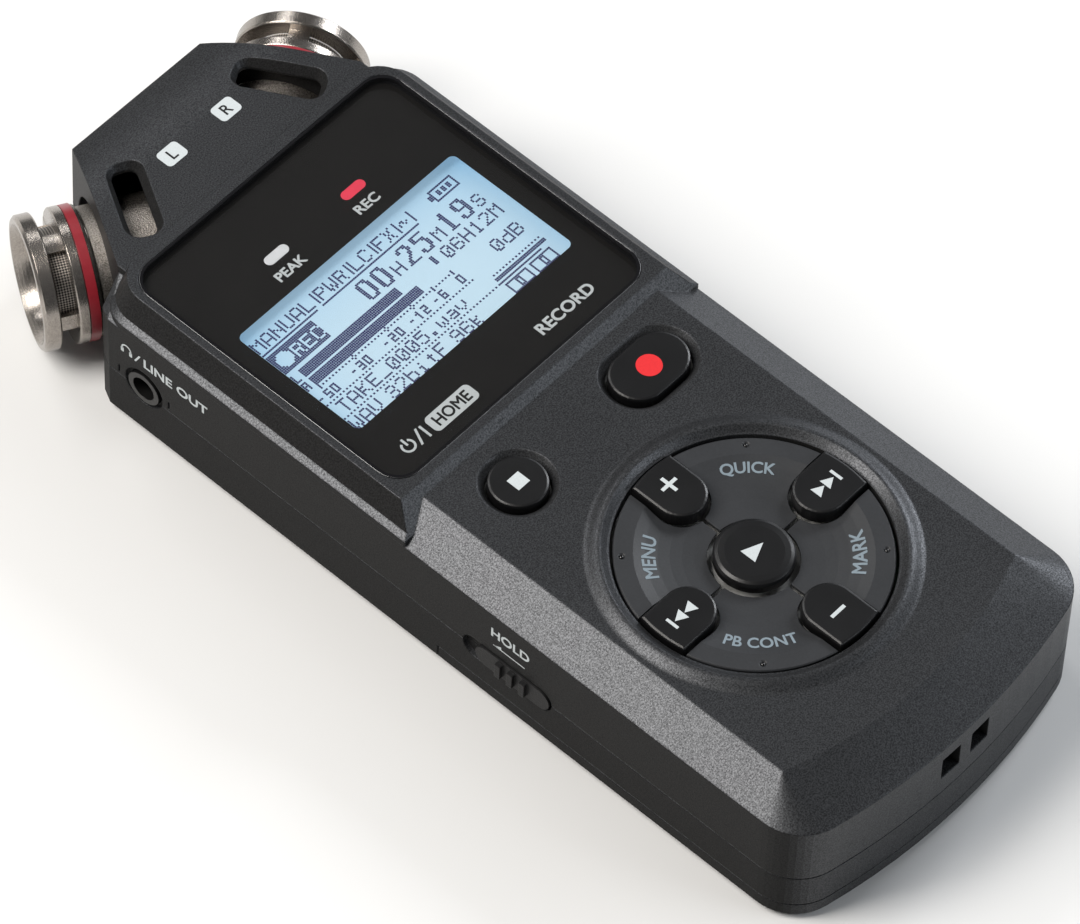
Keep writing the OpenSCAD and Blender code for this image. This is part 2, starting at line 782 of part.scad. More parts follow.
module mic_housing(side) {
    color([0.7, 0.67, 0.63]) lay() mic_frame(side) difference() {
        rotate_extrude($fn = 96) polygon(concat(
            [[6.4, -0.6], [barrel_r - 0.82, -0.6], [barrel_r - 0.82, lip_s], [mic_r - 0.25, lip_s],
             [mic_r - 0.15, band_s], [mic_r - 0.65, band_s], [mic_r - 0.65, ring_s],
             [mic_r - 0.1, ring_s], [mic_r, ring_s + 0.15], [mic_r, neck_s - 0.2],
             [mic_r - 0.2, neck_s], [neck_r, neck_s], [neck_r, front_s],
             [mic_r - 0.2, front_s], [mic_r, front_s + 0.2], [mic_r, ring_rim],
             [mic_r - 0.35, mic_front - 0.05], [mic_r - 0.6, mic_front]],
            // bell mouth
            [for (i = [0:6]) let (t = i / 6)
                [mic_r - 1 - 1.35 * (1 - pow(1 - t, 2)), mic_front - 2.6 * t]],
            [[6.6, 7.2], [6.6, 5]]));
        // four windows in the neck
        for (i = [0:3]) rotate([0, 0, 45 + 90 * i]) intersection() {
            translate([0, 0, neck_s - 0.02]) cylinder(r = 12, h = front_s - neck_s + 0.04);
            rotate([0, 0, -34]) wedge(68);
        }
    }
}

// a slice of pie with a straight front, from the axis outwards
module wedge(angle) {
    linear_extrude(40, center = true)
        polygon([[0, 0], [14, 0], [14 * cos(angle / 2), 14 * sin(angle / 2)] * 1.3,
                 [14 * cos(angle), 14 * sin(angle)]]);
}

module mic_band(side) {
    color([0.7, 0.12, 0.18]) lay() mic_frame(side) translate([0, 0, band_s]) difference() {
        cylinder(r = mic_r - 0.02, h = ring_s - band_s, $fn = 96);
        translate([0, 0, -1]) cylinder(r = mic_r - 0.64, h = 5, $fn = 96);
    }
}

module mic_mesh(side) {
    color([0.35, 0.33, 0.31]) lay() mic_frame(side) difference() {
        translate([0, 0, 5.02]) cylinder(r = 6.58, h = front_s - 5);
        translate([0, 0, 4]) cylinder(r = 6.25, h = 2);
        translate([0, 0, 6.2]) cylinder(r = 6.25, h = 2);
    }
}

module mic_capsule(side) {
    color([0.8, 0.75, 0.6]) lay() mic_frame(side) {
        translate([0, 0, 1]) cylinder(r = 6.35, h = 1.6);
        translate([0, 0, 2.6]) cylinder(r = 4.85, h = 3.2);
    }
}

module left_mic_barrel() mic_barrel(-1);
module left_mic_housing() mic_housing(-1);
module left_mic_band() mic_band(-1);
module left_mic_mesh() mic_mesh(-1);
module left_mic_capsule() mic_capsule(-1);
module right_mic_barrel() mic_barrel(1);
module right_mic_housing() mic_housing(1);
module right_mic_band() mic_band(1);
module right_mic_mesh() mic_mesh(1);
module right_mic_capsule() mic_capsule(1);

// --- sockets --------------------------------------------------------------------------

// a 3.5 mm jack: its mouth at the origin, its body behind it
module audio_jack() {
    difference() {
        union() {
            translate([0, 0, -14]) cylinder(r = flange_r, h = 14.1);
            translate([-3.3, io_z - jack_z, -13.6]) cube([6.6, 6.7, 12]);
        }
        translate([0, 0, -12.6]) cylinder(r = jack_r, h = 20);
    }
}

module phones_jack() {
    color([0.1, 0.1, 0.1]) lay() side_frame(-1, phones_y, jack_z) audio_jack();
}

module ext_mic_jack() {
    color([0.1, 0.1, 0.1]) lay() translate([0, case_l, jack_z])
        rotate([90, 0, 180]) audio_jack();
}

module usb_port() {
    color("silver") lay() side_frame(1, usb_y, usb_z) translate([0, 0, -usb_l]) {
        difference() {
            linear_extrude(usb_l) obround(usb_w, usb_h);
            translate([0, 0, 1]) linear_extrude(usb_l) obround(usb_w - 0.6, usb_h - 0.6);
        }
        translate([0, 0, usb_l / 2]) cube([6.4, 0.7, usb_l - 1.6], center = true);
    }
}

module card_socket() {
    color("silver") lay() side_frame(1, card_y + cover_l / 2 + 0.9, io_z + 0.9)
        difference() {
            translate([0, 0, -11.2]) cube([card_w + 2.6, 1.8, 17.6], center = true);
            translate([0, 0, -9]) cube([card_w + 0.4, 1, 17.6], center = true);
        }
}

module memory_card() {
    color([0.1, 0.1, 0.1]) lay() side_frame(1, card_y + cover_l / 2 + 0.9, io_z + 0.9)
        difference() {
            translate([0, 0, -2.4 - card_l / 2]) cube([card_w, card_t, card_l], center = true);
            translate([card_w / 2, 0, -2.4 - card_l]) rotate([0, 30, 0]) cube([2, 2, 4], center = true);
        }
}

module card_cover() {
    color([0.18, 0.18, 0.19]) lay() {
        translate([half_w - cover_t / 2, card_y + cover_t / 2, cover_z - cover_h / 2])
            cylinder(d = cover_t, h = cover_h);
        translate([half_w - cover_t, card_y + cover_t / 2, cover_z - cover_h / 2])
            cube([cover_t, cover_l - cover_t / 2, cover_h]);
        // finger nick
        translate([half_w, card_y + cover_l - 1.5, cover_z]) cylinder(d = 1, h = 3.4, center = true);
    }
}

module speaker() {
    color([0.3, 0.3, 0.3]) lay() translate([0, speaker_y, wall + 0.05]) difference() {
        union() {
            cylinder(r = speaker_r, h = 2);
            cylinder(r = 6, h = 3.7);
        }
        translate([0, 0, -1]) cylinder(r1 = 8.6, r2 = 6.4, h = 1.8);
    }
}

module tripod_nut() {
    color([0.78, 0.65, 0.35]) lay() translate([0, tripod_y, 0]) difference() {
        union() {
            cylinder(r = nut_r - 0.02, h = 5);
            translate([0, 0, 5]) cylinder(r = nut_r - 1, h = 0.5);
        }
        translate([0, 0, -0.01]) cylinder(r = tripod_r, h = tripod_depth + 0.01);
    }
}

// --- cells ------------------------------------------------------------------------------

// an AA cell with its button towards +Y
module cell() {
    rotate([-90, 0, 0]) {
        cylinder(d = cell_d, h = cell_l - 1.2);
        cylinder(d = 5.4, h = cell_l);
    }
}

module left_cell() {
    color([0.2, 0.35, 0.6]) lay() translate([-cell_x, bay_y + contact_t + spring_l, cell_z]) cell();
}

module right_cell() {
    color([0.2, 0.35, 0.6]) lay() translate([cell_x, bay_y + bay_l - contact_t - spring_l, cell_z])
        rotate([0, 0, 180]) cell();
}

// a cone of wire turns, from its plate towards +Y
module cell_spring() {
    rotate([-90, 0, 0]) {
        for (i = [0:3]) translate([0, 0, 0.35 + i * 0.72]) rotate_extrude()
            translate([4.6 - 0.8 * i, 0]) circle(r = 0.35, $fn = 16);
        for (i = [0:2]) translate([3.9 - 0.8 * i, 0, 0.35 + i * 0.72]) rotate([0, 47, 0])
            translate([0, 0, 0.4]) cube([0.5, 0.6, 1.2], center = true);
    }
}

module cell_springs() {
    color("silver") lay() {
        translate([-cell_x, bay_y + contact_t, cell_z]) cell_spring();
        translate([cell_x, bay_y + bay_l - contact_t, cell_z]) rotate([0, 0, 180]) cell_spring();
    }
}

module cell_plate(x, y, w) {
    translate([x - w / 2, y, 3]) cube([w, contact_t, 11.5]);
}

module cell_bridge() {
    color("silver") lay() cell_plate(0, bay_y, 26);
}

module cell_plates() {
    color("silver") lay() for (side = [-1, 1])
        cell_plate(side * cell_x, bay_y + bay_l - contact_t, 11);
}

// --- fasteners ----------------------------------------------------------------------------

module case_screws() {
    color([0.15, 0.15, 0.15]) lay() for (p = screws) both_sides() translate([p[0], p[1], p[2]])
        difference() {
            union() {
                translate([0, 0, 0.2]) cylinder(r = 1.85, h = 1.2);
                translate([0, 0, 1.4]) cylinder(r = screw_r - 0.02, h = 11.6 - p[2]);
            }
            for (turn = [0, 90]) rotate([0, 0, turn]) cube([2.2, 0.5, 1.6], center = true);
        }
}

front_shell();
back_shell();
battery_door();
display_window();
lcd_panel();
lcd_frame();
peak_lamp();
record_lamp();
main_board();
io_board();
board_link();
key_mat();
record_key();
stop_key();
play_key();
plus_key();
minus_key();
rewind_key();
forward_key();
menu_key();
quick_key();
mark_key();
playback_key();
hold_slider();
hold_switch();
left_mic_barrel();
left_mic_housing();
left_mic_band();
left_mic_mesh();
left_mic_capsule();
right_mic_barrel();
right_mic_housing();
right_mic_band();
right_mic_mesh();
right_mic_capsule();
phones_jack();
ext_mic_jack();
usb_port();
card_socket();
memory_card();
card_cover();
speaker();
tripod_nut();
left_cell();
right_cell();
cell_springs();
cell_plates();
cell_bridge();
case_screws();
board_screws();
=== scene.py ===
import math

import bmesh
import bpy
from mathutils import Matrix, Vector
from mathutils.bvhtree import BVHTree


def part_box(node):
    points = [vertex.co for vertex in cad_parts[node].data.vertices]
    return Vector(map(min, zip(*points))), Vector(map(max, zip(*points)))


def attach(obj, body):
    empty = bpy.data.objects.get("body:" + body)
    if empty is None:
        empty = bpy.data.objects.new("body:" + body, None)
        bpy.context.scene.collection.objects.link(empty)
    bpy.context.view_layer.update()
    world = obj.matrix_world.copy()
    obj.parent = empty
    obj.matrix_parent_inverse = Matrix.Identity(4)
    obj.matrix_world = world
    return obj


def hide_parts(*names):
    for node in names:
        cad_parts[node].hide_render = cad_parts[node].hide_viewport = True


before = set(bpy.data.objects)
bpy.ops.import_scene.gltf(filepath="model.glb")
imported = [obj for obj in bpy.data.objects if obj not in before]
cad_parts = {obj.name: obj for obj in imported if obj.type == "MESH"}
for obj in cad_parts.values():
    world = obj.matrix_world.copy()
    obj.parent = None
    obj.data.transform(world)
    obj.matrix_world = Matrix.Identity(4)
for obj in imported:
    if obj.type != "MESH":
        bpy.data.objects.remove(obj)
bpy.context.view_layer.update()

bl_info = {
    "name": "Pocket field recorder",
    "version": (1, 0, 0),
    "blender": (4, 5, 0),
    "location": "3D View > Sidebar > Recorder",
    "description": "Finishes, legends, display and studio for a pocket stereo field recorder",
    "category": "Object",
}

MM = 0.001
TURN = 2 * math.pi
PLAIN_KEYS = ("record", "stop", "play", "plus", "minus", "rewind", "forward")
SIDES = {"left": -1, "right": 1}


def middle(node):
    """The centre of a node's box in plan, at the height of its top, in millimetres."""
    low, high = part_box(node)
    return Vector(((low.x + high.x) / 2, (low.y + high.y) / 2, high.z)) / MM


def linear(red, green, blue):
    """A screen colour from 0 to 255 as the linear colour that a shader takes."""
    shares = (red / 255, green / 255, blue / 255)
    return tuple(c / 12.92 if c < 0.0404 else ((c + 0.055) / 1.055) ** 2.4 for c in shares)


WINDOW = middle("display_window")
PAD = middle("play_key")
WALL_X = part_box("front_shell")[0].x / MM
RING_KEYS = ("menu", "quick", "mark", "playback")

# Lengths in millimetres.
MIC_Z = 10.0
MIC_REACH = (17.0, 58.4)
WINDOW_CORNER = 3.6
BEAD_R = 0.1
PRINT_GAP = 0.022
PRINT_THICK = 0.012
SIGN_HEIGHT = 1.8
HOME_X = -9.35
LAMP_WORD_Y = 34.75
RING_WORD_R = 13.0
LATHE_PITCH = 0.11
PIN_R = 0.3
PIN_DEPTH = 0.22
PIN_OUT = 16.3 * math.sqrt(0.5)
PIN_FLATNESS = 0.7

# Shares of a letter's size, and the ways in which its bold copies are set out.
LETTER_THICK = 0.004
COPY_LIFT = 0.0008
BOLD_TURNS = [math.radians(22.5 + 45.0 * i) for i in range(8)]

# The display's dots, across and down.
SCREEN = (128, 64)

# The studio, in metres.
FLOOR_R = 6.0
CAMERA_AT = (-0.44452, -0.37439, 0.82586)
CAMERA_LOOK = (0.44303, 0.37181, -0.81577)
CAMERA_UP = (0.59406, 0.55975, 0.57774)


# ---------------------------------------------------------------- shader building

class Wire:
    """A socket that takes part in sums: each operator adds the Math node that does it."""

    def __init__(self, paint, socket):
        self.paint, self.socket = paint, socket

    def maths(self, operation, *values):
        return self.paint.add("ShaderNodeMath", {"operation": operation}, dict(enumerate(values)))

    def __add__(self, other): return self.maths("ADD", self, other)
    def __radd__(self, other): return self.maths("ADD", other, self)
    def __sub__(self, other): return self.maths("SUBTRACT", self, other)
    def __rsub__(self, other): return self.maths("SUBTRACT", other, self)
    def __mul__(self, other): return self.maths("MULTIPLY", self, other)
    def __truediv__(self, other): return self.maths("DIVIDE", self, other)
    def __pow__(self, other): return self.maths("POWER", self, other)
    def __gt__(self, other): return self.maths("GREATER_THAN", self, other)
    def __lt__(self, other): return self.maths("LESS_THAN", self, other)
    def __abs__(self): return self.maths("ABSOLUTE", self)
    def sine(self): return self.maths("SINE", self)
    def at_least(self, least): return self.maths("MAXIMUM", self, least)


class Paint:
    """One material while it is being mixed. Lengths in its sums are millimetres."""

    def __init__(self, name):
        self.material = bpy.data.materials.new(name)
        self.material.use_nodes = True
        self.tree = self.material.node_tree
        self.tree.nodes.clear()

    def add(self, kind, settings=None, sockets=None, out=0):
        """Adds a node: its settings first, then its sockets' values or links."""
        node = self.tree.nodes.new(kind)
        for name, value in (settings or {}).items():
            setattr(node, name, value)
        for name, value in (sockets or {}).items():
            socket = node.inputs[name]
            if isinstance(value, Wire):
                self.tree.links.new(value.socket, socket)
            elif isinstance(value, tuple) and socket.type == "RGBA":
                socket.default_value = (*value, 1)
            else:
                socket.default_value = value
        return Wire(self, node.outputs[out])

    def place(self):
        """The point being shaded, in metres."""
        return self.add("ShaderNodeTexCoord", out="Object")

    def split(self, vector):
        """The three parts of a vector of metres, in millimetres."""
        scaled = self.add("ShaderNodeVectorMath", {"operation": "SCALE"}, {0: vector, "Scale": 1 / MM})
        return [self.add("ShaderNodeSeparateXYZ", None, {0: scaled}, out) for out in range(3)]

    def speckle(self, size, detail=2.0):
        """Noise from 0 to 1 whose grains are about size millimetres across."""
        return self.add("ShaderNodeTexNoise", None, {
            "Vector": self.place(), "Scale": 0.5 / (size * MM), "Detail": detail}, "Fac")

    def facing(self, axis, low, high):
        """How far a face looks along an axis: 0 where its normal's part is low, 1 where it is high."""
        normal = self.add("ShaderNodeTexCoord", out="Normal")
        return self.spread(self.add("ShaderNodeSeparateXYZ", None, {0: normal}, axis), low, high)

    def spread(self, value, low, high):
        """A value from 0 to 1 stretched so that low becomes 0 and high becomes 1."""
        return self.add("ShaderNodeMapRange", {"clamp": True}, {
            "Value": value, "From Min": low, "From Max": high})

    def between(self, share, first, second):
        """A colour that goes from first to second as share goes from 0 to 1."""
        return self.add("ShaderNodeMix", {"data_type": "RGBA"}, {0: share, 6: first, 7: second}, 2)

    def relief(self, height, depth, edge=0.0):
        """A normal with height's relief, depth deep, on edges rounded to a radius of edge."""
        sockets = {"Height": height, "Distance": depth * MM, "Strength": 1.0}
        if edge:
            sockets["Normal"] = self.add("ShaderNodeBevel", {"samples": 4}, {"Radius": edge * MM})
        return self.add("ShaderNodeBump", None, sockets)

    def surface(self, sockets):
        """A Principled surface; its fixed values are set on its own sockets."""
        return self.add("ShaderNodeBsdfPrincipled", None, sockets)

    def done(self, shader):
        """Ends the material with its surface."""
        node = self.tree.nodes.new("ShaderNodeOutputMaterial")
        self.tree.links.new(shader.socket, node.inputs["Surface"])
        return self.material


# ---------------------------------------------------------------- finishes

def scaled(tint, *factors):
    """One tint at several strengths."""
    return [tuple(min(1.0, c * factor) for c in tint) for factor in factors]


def flake_paint(name, tint, shaded_wall_tint, size, metallic, roughness, edge):
    """Charcoal lacquer: fine flakes on the top and the strap end, and a darker, non-metallic colour painted
    on the sides as painted shade.
    """
    p = Paint(name)
    fine = p.spread(p.speckle(size, 1.0), 0.3, 0.7)
    broad = p.speckle(9.0, 3.0)
    # Painted shade: faces that look sideways get the darker wall colour; faces that look up or towards the
    # strap end keep the brighter flakes.
    unshaded_faces = p.facing(2, 0.56, 0.74).at_least(p.facing(1, -0.5, -0.85))
    flakes = p.between(fine * 0.86 + broad * 0.14, *scaled(tint, 0.5, 1.62))
    film_and_painted_shade = p.between(fine * 0.8 + broad * 0.2, *scaled(shaded_wall_tint, 0.6, 1.5))
    return p.done(p.surface({
        "Base Color": p.between(unshaded_faces, film_and_painted_shade, flakes), "Metallic": unshaded_faces * metallic,
        "Roughness": roughness + broad * 0.05 - fine * 0.04, "Specular IOR Level": 0.04,
        "Normal": p.relief(p.speckle(size * 1.4, 2.0), 0.016, edge)}))


def moulded_plastic(name, tint, size, roughness, edge, depth=0.014, gloss=0.5):
    """Dark plastic from a finely eroded mould."""
    p = Paint(name)
    grain = p.spread(p.speckle(size, 2.0), 0.3, 0.7)
    broad = p.speckle(14.0, 2.0)
    return p.done(p.surface({
        "Base Color": p.between(grain * 0.7 + broad * 0.3, *scaled(tint, 0.72, 1.3)),
        "Roughness": roughness + grain * 0.08, "Specular IOR Level": gloss,
        "Normal": p.relief(grain, depth, edge)}))


def satin_key(name, tint, roughness, edge, gloss=0.5):
    """Soft satin key top: a smooth crown with a very light grain."""
    p = Paint(name)
    grain = p.speckle(0.16, 2.0)
    worn = p.speckle(3.0, 3.0)
    return p.done(p.surface({
        "Base Color": p.between(grain * 0.6 + worn * 0.4, *scaled(tint, 0.7, 1.35)),
        "Roughness": roughness + worn * 0.08, "Specular IOR Level": gloss,
        "Normal": p.relief(grain, 0.006, edge)}))


def mic_place(p, side):
    """A point's way along a microphone's own axis, and its radius and angle round it."""
    turned = p.add("ShaderNodeMapping", {"vector_type": "TEXTURE"}, {
        "Vector": p.place(), "Location": Vector((SIDES[side] * MIC_REACH[0], MIC_REACH[1], MIC_Z)) * MM,
        "Rotation": (0, math.radians(90), math.radians(90 - 60 * SIDES[side]))})
    x, y, along = p.split(turned)
    radius = (x * x + y * y) ** 0.5
    return along, radius, y.maths("ARCTAN2", y, x)


def turned_metal(name, side, tint, roughness, blast):
    """Nickel-plated metal with lathe marks round its axis; blast adds a sand-blasted grain."""
    p = Paint(name)
    along, radius, _ = mic_place(p, side)
    rings = ((along + radius) * (TURN / LATHE_PITCH)).sine() * 0.5 + 0.5
    grit = p.spread(p.speckle(0.09, 2.0), 0.34, 0.66)
    smear = p.speckle(3.0, 2.0)
    height = grit * blast + rings * (1 - blast)
    return p.done(p.surface({
        "Base Color": p.between(grit * 0.8 + smear * 0.2,
                                *scaled(tint, 0.72 - 0.3 * blast, 1.2 + 0.3 * blast)),
        "Metallic": 1.0, "Roughness": roughness + smear * 0.08 + grit * (0.12 * blast),
        "Normal": p.relief(height, 0.003 + 0.03 * blast, 0.1)}))


def knurled_metal(name, side, tint):
    """The grille cup: a fine diamond knurl whose pits, and the gaps of the weave on its face, are painted
    near-black as painted shade between its nickel points.
    """
    p = Paint(name)
    along, radius, angle = mic_place(p, side)
    turns, climb = angle * 60.0, along * 8.6
    knurl = (turns + climb).sine() * (turns - climb).sine() * 0.5 + 0.5
    x, y, z = p.split(p.place())
    woven = (z * 13.0).sine() * ((x + y) * 13.0).sine() * 0.5 + 0.5
    face = radius < 6.2
    points = knurl * (1 - face) + woven * face
    # Painted shade: where the points fall away the colour goes to near-black and the metal to non-metal; lit
    # marks the points.
    lit = p.spread(points, 0.4, 0.66)
    return p.done(p.surface({
        "Base Color": p.between(lit, (0.006, 0.006, 0.006), tint), "Metallic": lit * 0.9,
        "Roughness": 0.62 - lit * 0.3, "Normal": p.relief(points, 0.05)}))


def anodised(name, side, tint):
    """The coloured ring: satin enamel with faint turning marks."""
    p = Paint(name)
    lines = (mic_place(p, side)[0] * 40.0).sine() * 0.5 + 0.5
    grain = p.speckle(0.4, 3.0)
    return p.done(p.surface({
        "Base Color": p.between(grain * 0.7 + lines * 0.3, *scaled(tint, 0.8, 1.15)),
        "Roughness": 0.34 + grain * 0.12, "Coat Weight": 0.3, "Coat Roughness": 0.2,
        "Normal": p.relief(lines, 0.002, 0.08)}))


def plated(name, tint, roughness, edge=0.06):
    """Plated sheet or wire with rolling marks and a faint bloom."""
    p = Paint(name)
    streak = p.add("ShaderNodeTexNoise", None, {
        "Vector": p.add("ShaderNodeMapping", None, {"Vector": p.place(), "Scale": (1, 0.06, 1)}),
        "Scale": 1000.0, "Detail": 3.0}, "Fac")
    bloom = p.speckle(2.5, 3.0)
    return p.done(p.surface({
        "Base Color": p.between(streak * 0.6 + bloom * 0.4, *scaled(tint, 0.66, 1.25)),
        "Metallic": 1.0, "Roughness": roughness + bloom * 0.2,
        "Normal": p.relief(streak, 0.008, edge)}))


def threaded_brass(name, tint, pitch):
    """Brass insert whose bore shows the thread's turns, with painted shade darkening the thread's grooves."""
    p = Paint(name)
    x, y, z = p.split(p.place())
    thread = (z * (TURN / pitch) + y.maths("ARCTAN2", y, x)).sine() * 0.5 + 0.5
    inside = (x * x + y * y) < 3.0 ** 2
    mottle = p.speckle(0.6, 3.0)
    # Painted shade: inside the bore the thread's grooves are coloured darker.
    return p.done(p.surface({
        "Base Color": p.between(mottle * 0.7 + inside * (1 - thread) * 0.3, *scaled(tint, 1.0, 0.5)),
        "Metallic": 1.0, "Roughness": 0.3 + mottle * 0.2,
        "Normal": p.relief(thread * inside, 0.25, 0.06)}))


def board_enamel(name, tint):
    """Solder resist over copper tracks, with tinned pads."""
    p = Paint(name)
    tracks = p.add("ShaderNodeTexBrick", {"offset": 0.37, "squash": 0.6, "squash_frequency": 3}, {
        "Vector": p.place(), "Scale": 420.0, "Mortar Size": 0.03, "Color1": (0, 0, 0),
        "Color2": (0.2, 0.2, 0.2), "Mortar": (1, 1, 1)}, "Fac")
    cells = p.add("ShaderNodeTexVoronoi", None, {"Vector": p.place(), "Scale": 360.0}, "Distance")
    pads = cells < 0.16
    stain = p.speckle(2.5, 3.0)
    resist = p.between(tracks * 0.6 + stain * 0.4, *scaled(tint, 0.7, 1.8))
    return p.done(p.surface({
        "Base Color": p.between(pads, resist, (0.62, 0.6, 0.55)), "Metallic": pads * 0.9,
        "Roughness": 0.3 + stain * 0.2, "Normal": p.relief(tracks + pads, 0.02)}))


def cell_sleeve(name, forward):
    """A battery's printed sleeve: a plain band at the button end, a scuffed gloss film."""
    p = Paint(name)
    low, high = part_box("left_cell")
    y = p.split(p.place())[1]
    share = (y - low.y / MM) / ((high.y - low.y) / MM)
    share = share if forward else 1 - share
    band = share > 0.72
    line = abs(share - 0.7) < 0.008
    metal = abs(share - 0.5) > 0.485
    scuff = p.spread(p.speckle(0.8, 4.0), 0.52, 0.7)
    film_and_painted_shade = p.between(band, (0.02, 0.022, 0.026), (0.1, 0.2, 0.34))
    film_and_painted_shade = p.between(line, film_and_painted_shade, (0.7, 0.7, 0.68))
    film_and_painted_shade = p.between(scuff * 0.18, film_and_painted_shade, (0.5, 0.5, 0.5))
    return p.done(p.surface({
        "Base Color": p.between(metal, film_and_painted_shade, (0.6, 0.6, 0.58)), "Metallic": metal,
        "Roughness": 0.28 + scuff * 0.25, "Normal": p.relief(scuff, 0.01, 0.2)}))


def window_glass(name, half_width, half_height):
    """Clear cover glass: it mirrors at a glance and is black only round its ground edge."""
    p = Paint(name)
    x, y, _ = p.split(p.place())
    out_x = (abs(x - WINDOW.x) - (half_width - WINDOW_CORNER)).at_least(0.0)
    out_y = (abs(y - WINDOW.y) - (half_height - WINDOW_CORNER)).at_least(0.0)
    rim = ((out_x * out_x + out_y * out_y) ** 0.5) > (WINDOW_CORNER - 0.32)
    smear = p.speckle(6.0, 3.0)
    gloss = p.add("ShaderNodeBsdfGlossy", None, {"Color": (1, 1, 1), "Roughness": 0.03})
    open_air = p.add("ShaderNodeBsdfTransparent", None, {"Color": (1, 1, 1)})
    shine = p.add("ShaderNodeFresnel", None, {"IOR": 1.4})
    clear = p.add("ShaderNodeMixShader", None, {0: shine * 0.6, 1: open_air, 2: gloss})
    edge = p.surface({"Base Color": p.between(smear, (0.004, 0.004, 0.005), (0.007, 0.007, 0.008)),
                      "Roughness": 0.7 + smear * 0.1, "Specular IOR Level": 0.05})
    return p.done(p.add("ShaderNodeMixShader", None, {0: rim, 1: clear, 2: edge}))


def lit_crystal(name, tint, low, high):
    """The display's back-lit layer: pale, with a painted shadow of the print's edge that makes it darker and
    a little bluer towards its upper and outer edges.
    """
    p = Paint(name)
    x, y, _ = p.split(p.place())
    up = p.spread(y, low.y, high.y)
    side = abs(p.spread(x, low.x, high.x) - 0.5) * 2.0
    # Painted shadow: darker and bluer towards the upper and outer edges, where the print's edge shades the
    # display.
    painted_shadow = p.spread(side ** 5.0 * 0.5 + up ** 4.0 * 0.6, 0.0, 1.0)
    grid = (x * 21.2).sine() * (y * 21.2).sine()
    share = painted_shadow * 0.85 + grid * 0.04
    deep = tuple(c * k for c, k in zip(tint, (0.52, 0.74, 0.92)))
    return p.done(p.surface({
        "Base Color": p.between(share, scaled(tint, 0.5)[0], scaled(deep, 0.5)[0]), "Roughness": 0.5,
        "Emission Color": p.between(share, tint, deep), "Emission Strength": 0.74,
        "Specular IOR Level": 0.1}))


def ink(name, tint, roughness=0.5):
    """Screen-printed ink: nearly even, with a slightly toothy film."""
    p = Paint(name)
    tooth = p.speckle(0.12, 2.0)
    return p.done(p.surface({
        "Base Color": p.between(tooth, *scaled(tint, 0.88, 1.08)),
        "Roughness": roughness + tooth * 0.1, "Specular IOR Level": 0.2,
        "Normal": p.relief(tooth, 0.003)}))


def lamp_lens(name, tint, glow):
    """A lamp's diffusing lens."""
    p = Paint(name)
    haze = p.speckle(0.5, 2.0)
    tone = p.between(haze, *scaled(tint, 0.85, 1.0))
    return p.done(p.surface({"Base Color": tone, "Roughness": 0.3 + haze * 0.1, "Emission Color": tone,
                             "Emission Strength": glow, "Normal": p.relief(haze, 0.01, 0.1)}))


# ---------------------------------------------------------------- shapes

def piece(name, bm_or_mesh, finish, body):
    """Puts a finished mesh into the scene as a piece that rides on a body."""
    if isinstance(bm_or_mesh, bmesh.types.BMesh):
        mesh = bpy.data.meshes.new(name)
        bm_or_mesh.to_mesh(mesh)
        bm_or_mesh.free()
    else:
        mesh = bm_or_mesh
        mesh.name = name
    made = bpy.data.objects.new(name, mesh)
    bpy.context.scene.collection.objects.link(made)
    mesh.materials.clear()
    mesh.materials.append(finish)
    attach(made, body)
    return made


def smooth(made):
    """Shades a piece's faces as one round surface."""
    for face in made.data.polygons:
        face.use_smooth = True


def coat(node, finish):
    """Gives a CAD node its finish."""
    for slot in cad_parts[node].material_slots:
        slot.material = finish


def deck_place(x, y, z):
    """Where a shape made in millimetres stands on an upward face."""
    return Matrix.Translation(Vector((x, y, z)) * MM) @ Matrix.Scale(MM, 4)


def wall_place(y, z):
    """Where a print lies on the left wall, read from the left with the display up."""
    facing = Matrix(((0, 0, -1, 0), (-1, 0, 0, 0), (0, 1, 0, 0), (0, 0, 0, 1)))
    return Matrix.Translation(Vector((WALL_X - 0.004, y, z)) * MM) @ facing @ Matrix.Scale(MM, 4)


def mesh_of(curve):
    """The mesh that a curve or text makes; the curve itself is removed."""
    holder = bpy.data.objects.new(curve.name, curve)
    bpy.context.scene.collection.objects.link(holder)
    bpy.context.view_layer.update()
    graph = bpy.context.evaluated_depsgraph_get()
    mesh = bpy.data.meshes.new_from_object(holder.evaluated_get(graph))
    bpy.data.objects.remove(holder)
    bpy.data.curves.remove(curve)
    return mesh


def words(text, height, width, bold, arc=0.0):
    """A flat mesh of letters centred on the origin, in millimetres; arc bends it round a circle.

    The letters are copies of thin ones set out round a small circle, bold being its radius as a
    share of their size, each a hair higher than the last so that no two tops lie in one plane.
    """
    curve = bpy.data.curves.new("letters", "FONT")
    curve.body, curve.align_x, curve.align_y = text, "CENTER", "CENTER"
    curve.resolution_u, curve.extrude = 4, LETTER_THICK
    thin = mesh_of(curve)
    shifts = [(math.cos(turn) * bold, math.sin(turn) * bold, i * COPY_LIFT)
              for i, turn in enumerate(BOLD_TURNS)]
    copies = join([(thin.copy(), Matrix.Translation(shift)) for shift in shifts])
    bpy.data.meshes.remove(thin)
    mesh = bpy.data.meshes.new("letters")
    copies.to_mesh(mesh)
    copies.free()
    spans = [[v.co[i] for v in mesh.vertices] for i in (0, 1)]
    (left, right), (low, high) = [(min(s), max(s)) for s in spans]
    tall = height / (high - low)
    wide = width / (right - left) if width else tall
    centred = Matrix.Translation((-(left + right) / 2, -(low + high) / 2, 0))
    mesh.transform(Matrix.Diagonal((wide, tall, tall, 1)) @ centred)
    if arc:
        for v in mesh.vertices:
            angle, reach = v.co.x / arc, arc + v.co.y
            v.co = Vector((reach * math.sin(angle), reach * math.cos(angle) - arc, v.co.z))
    return mesh


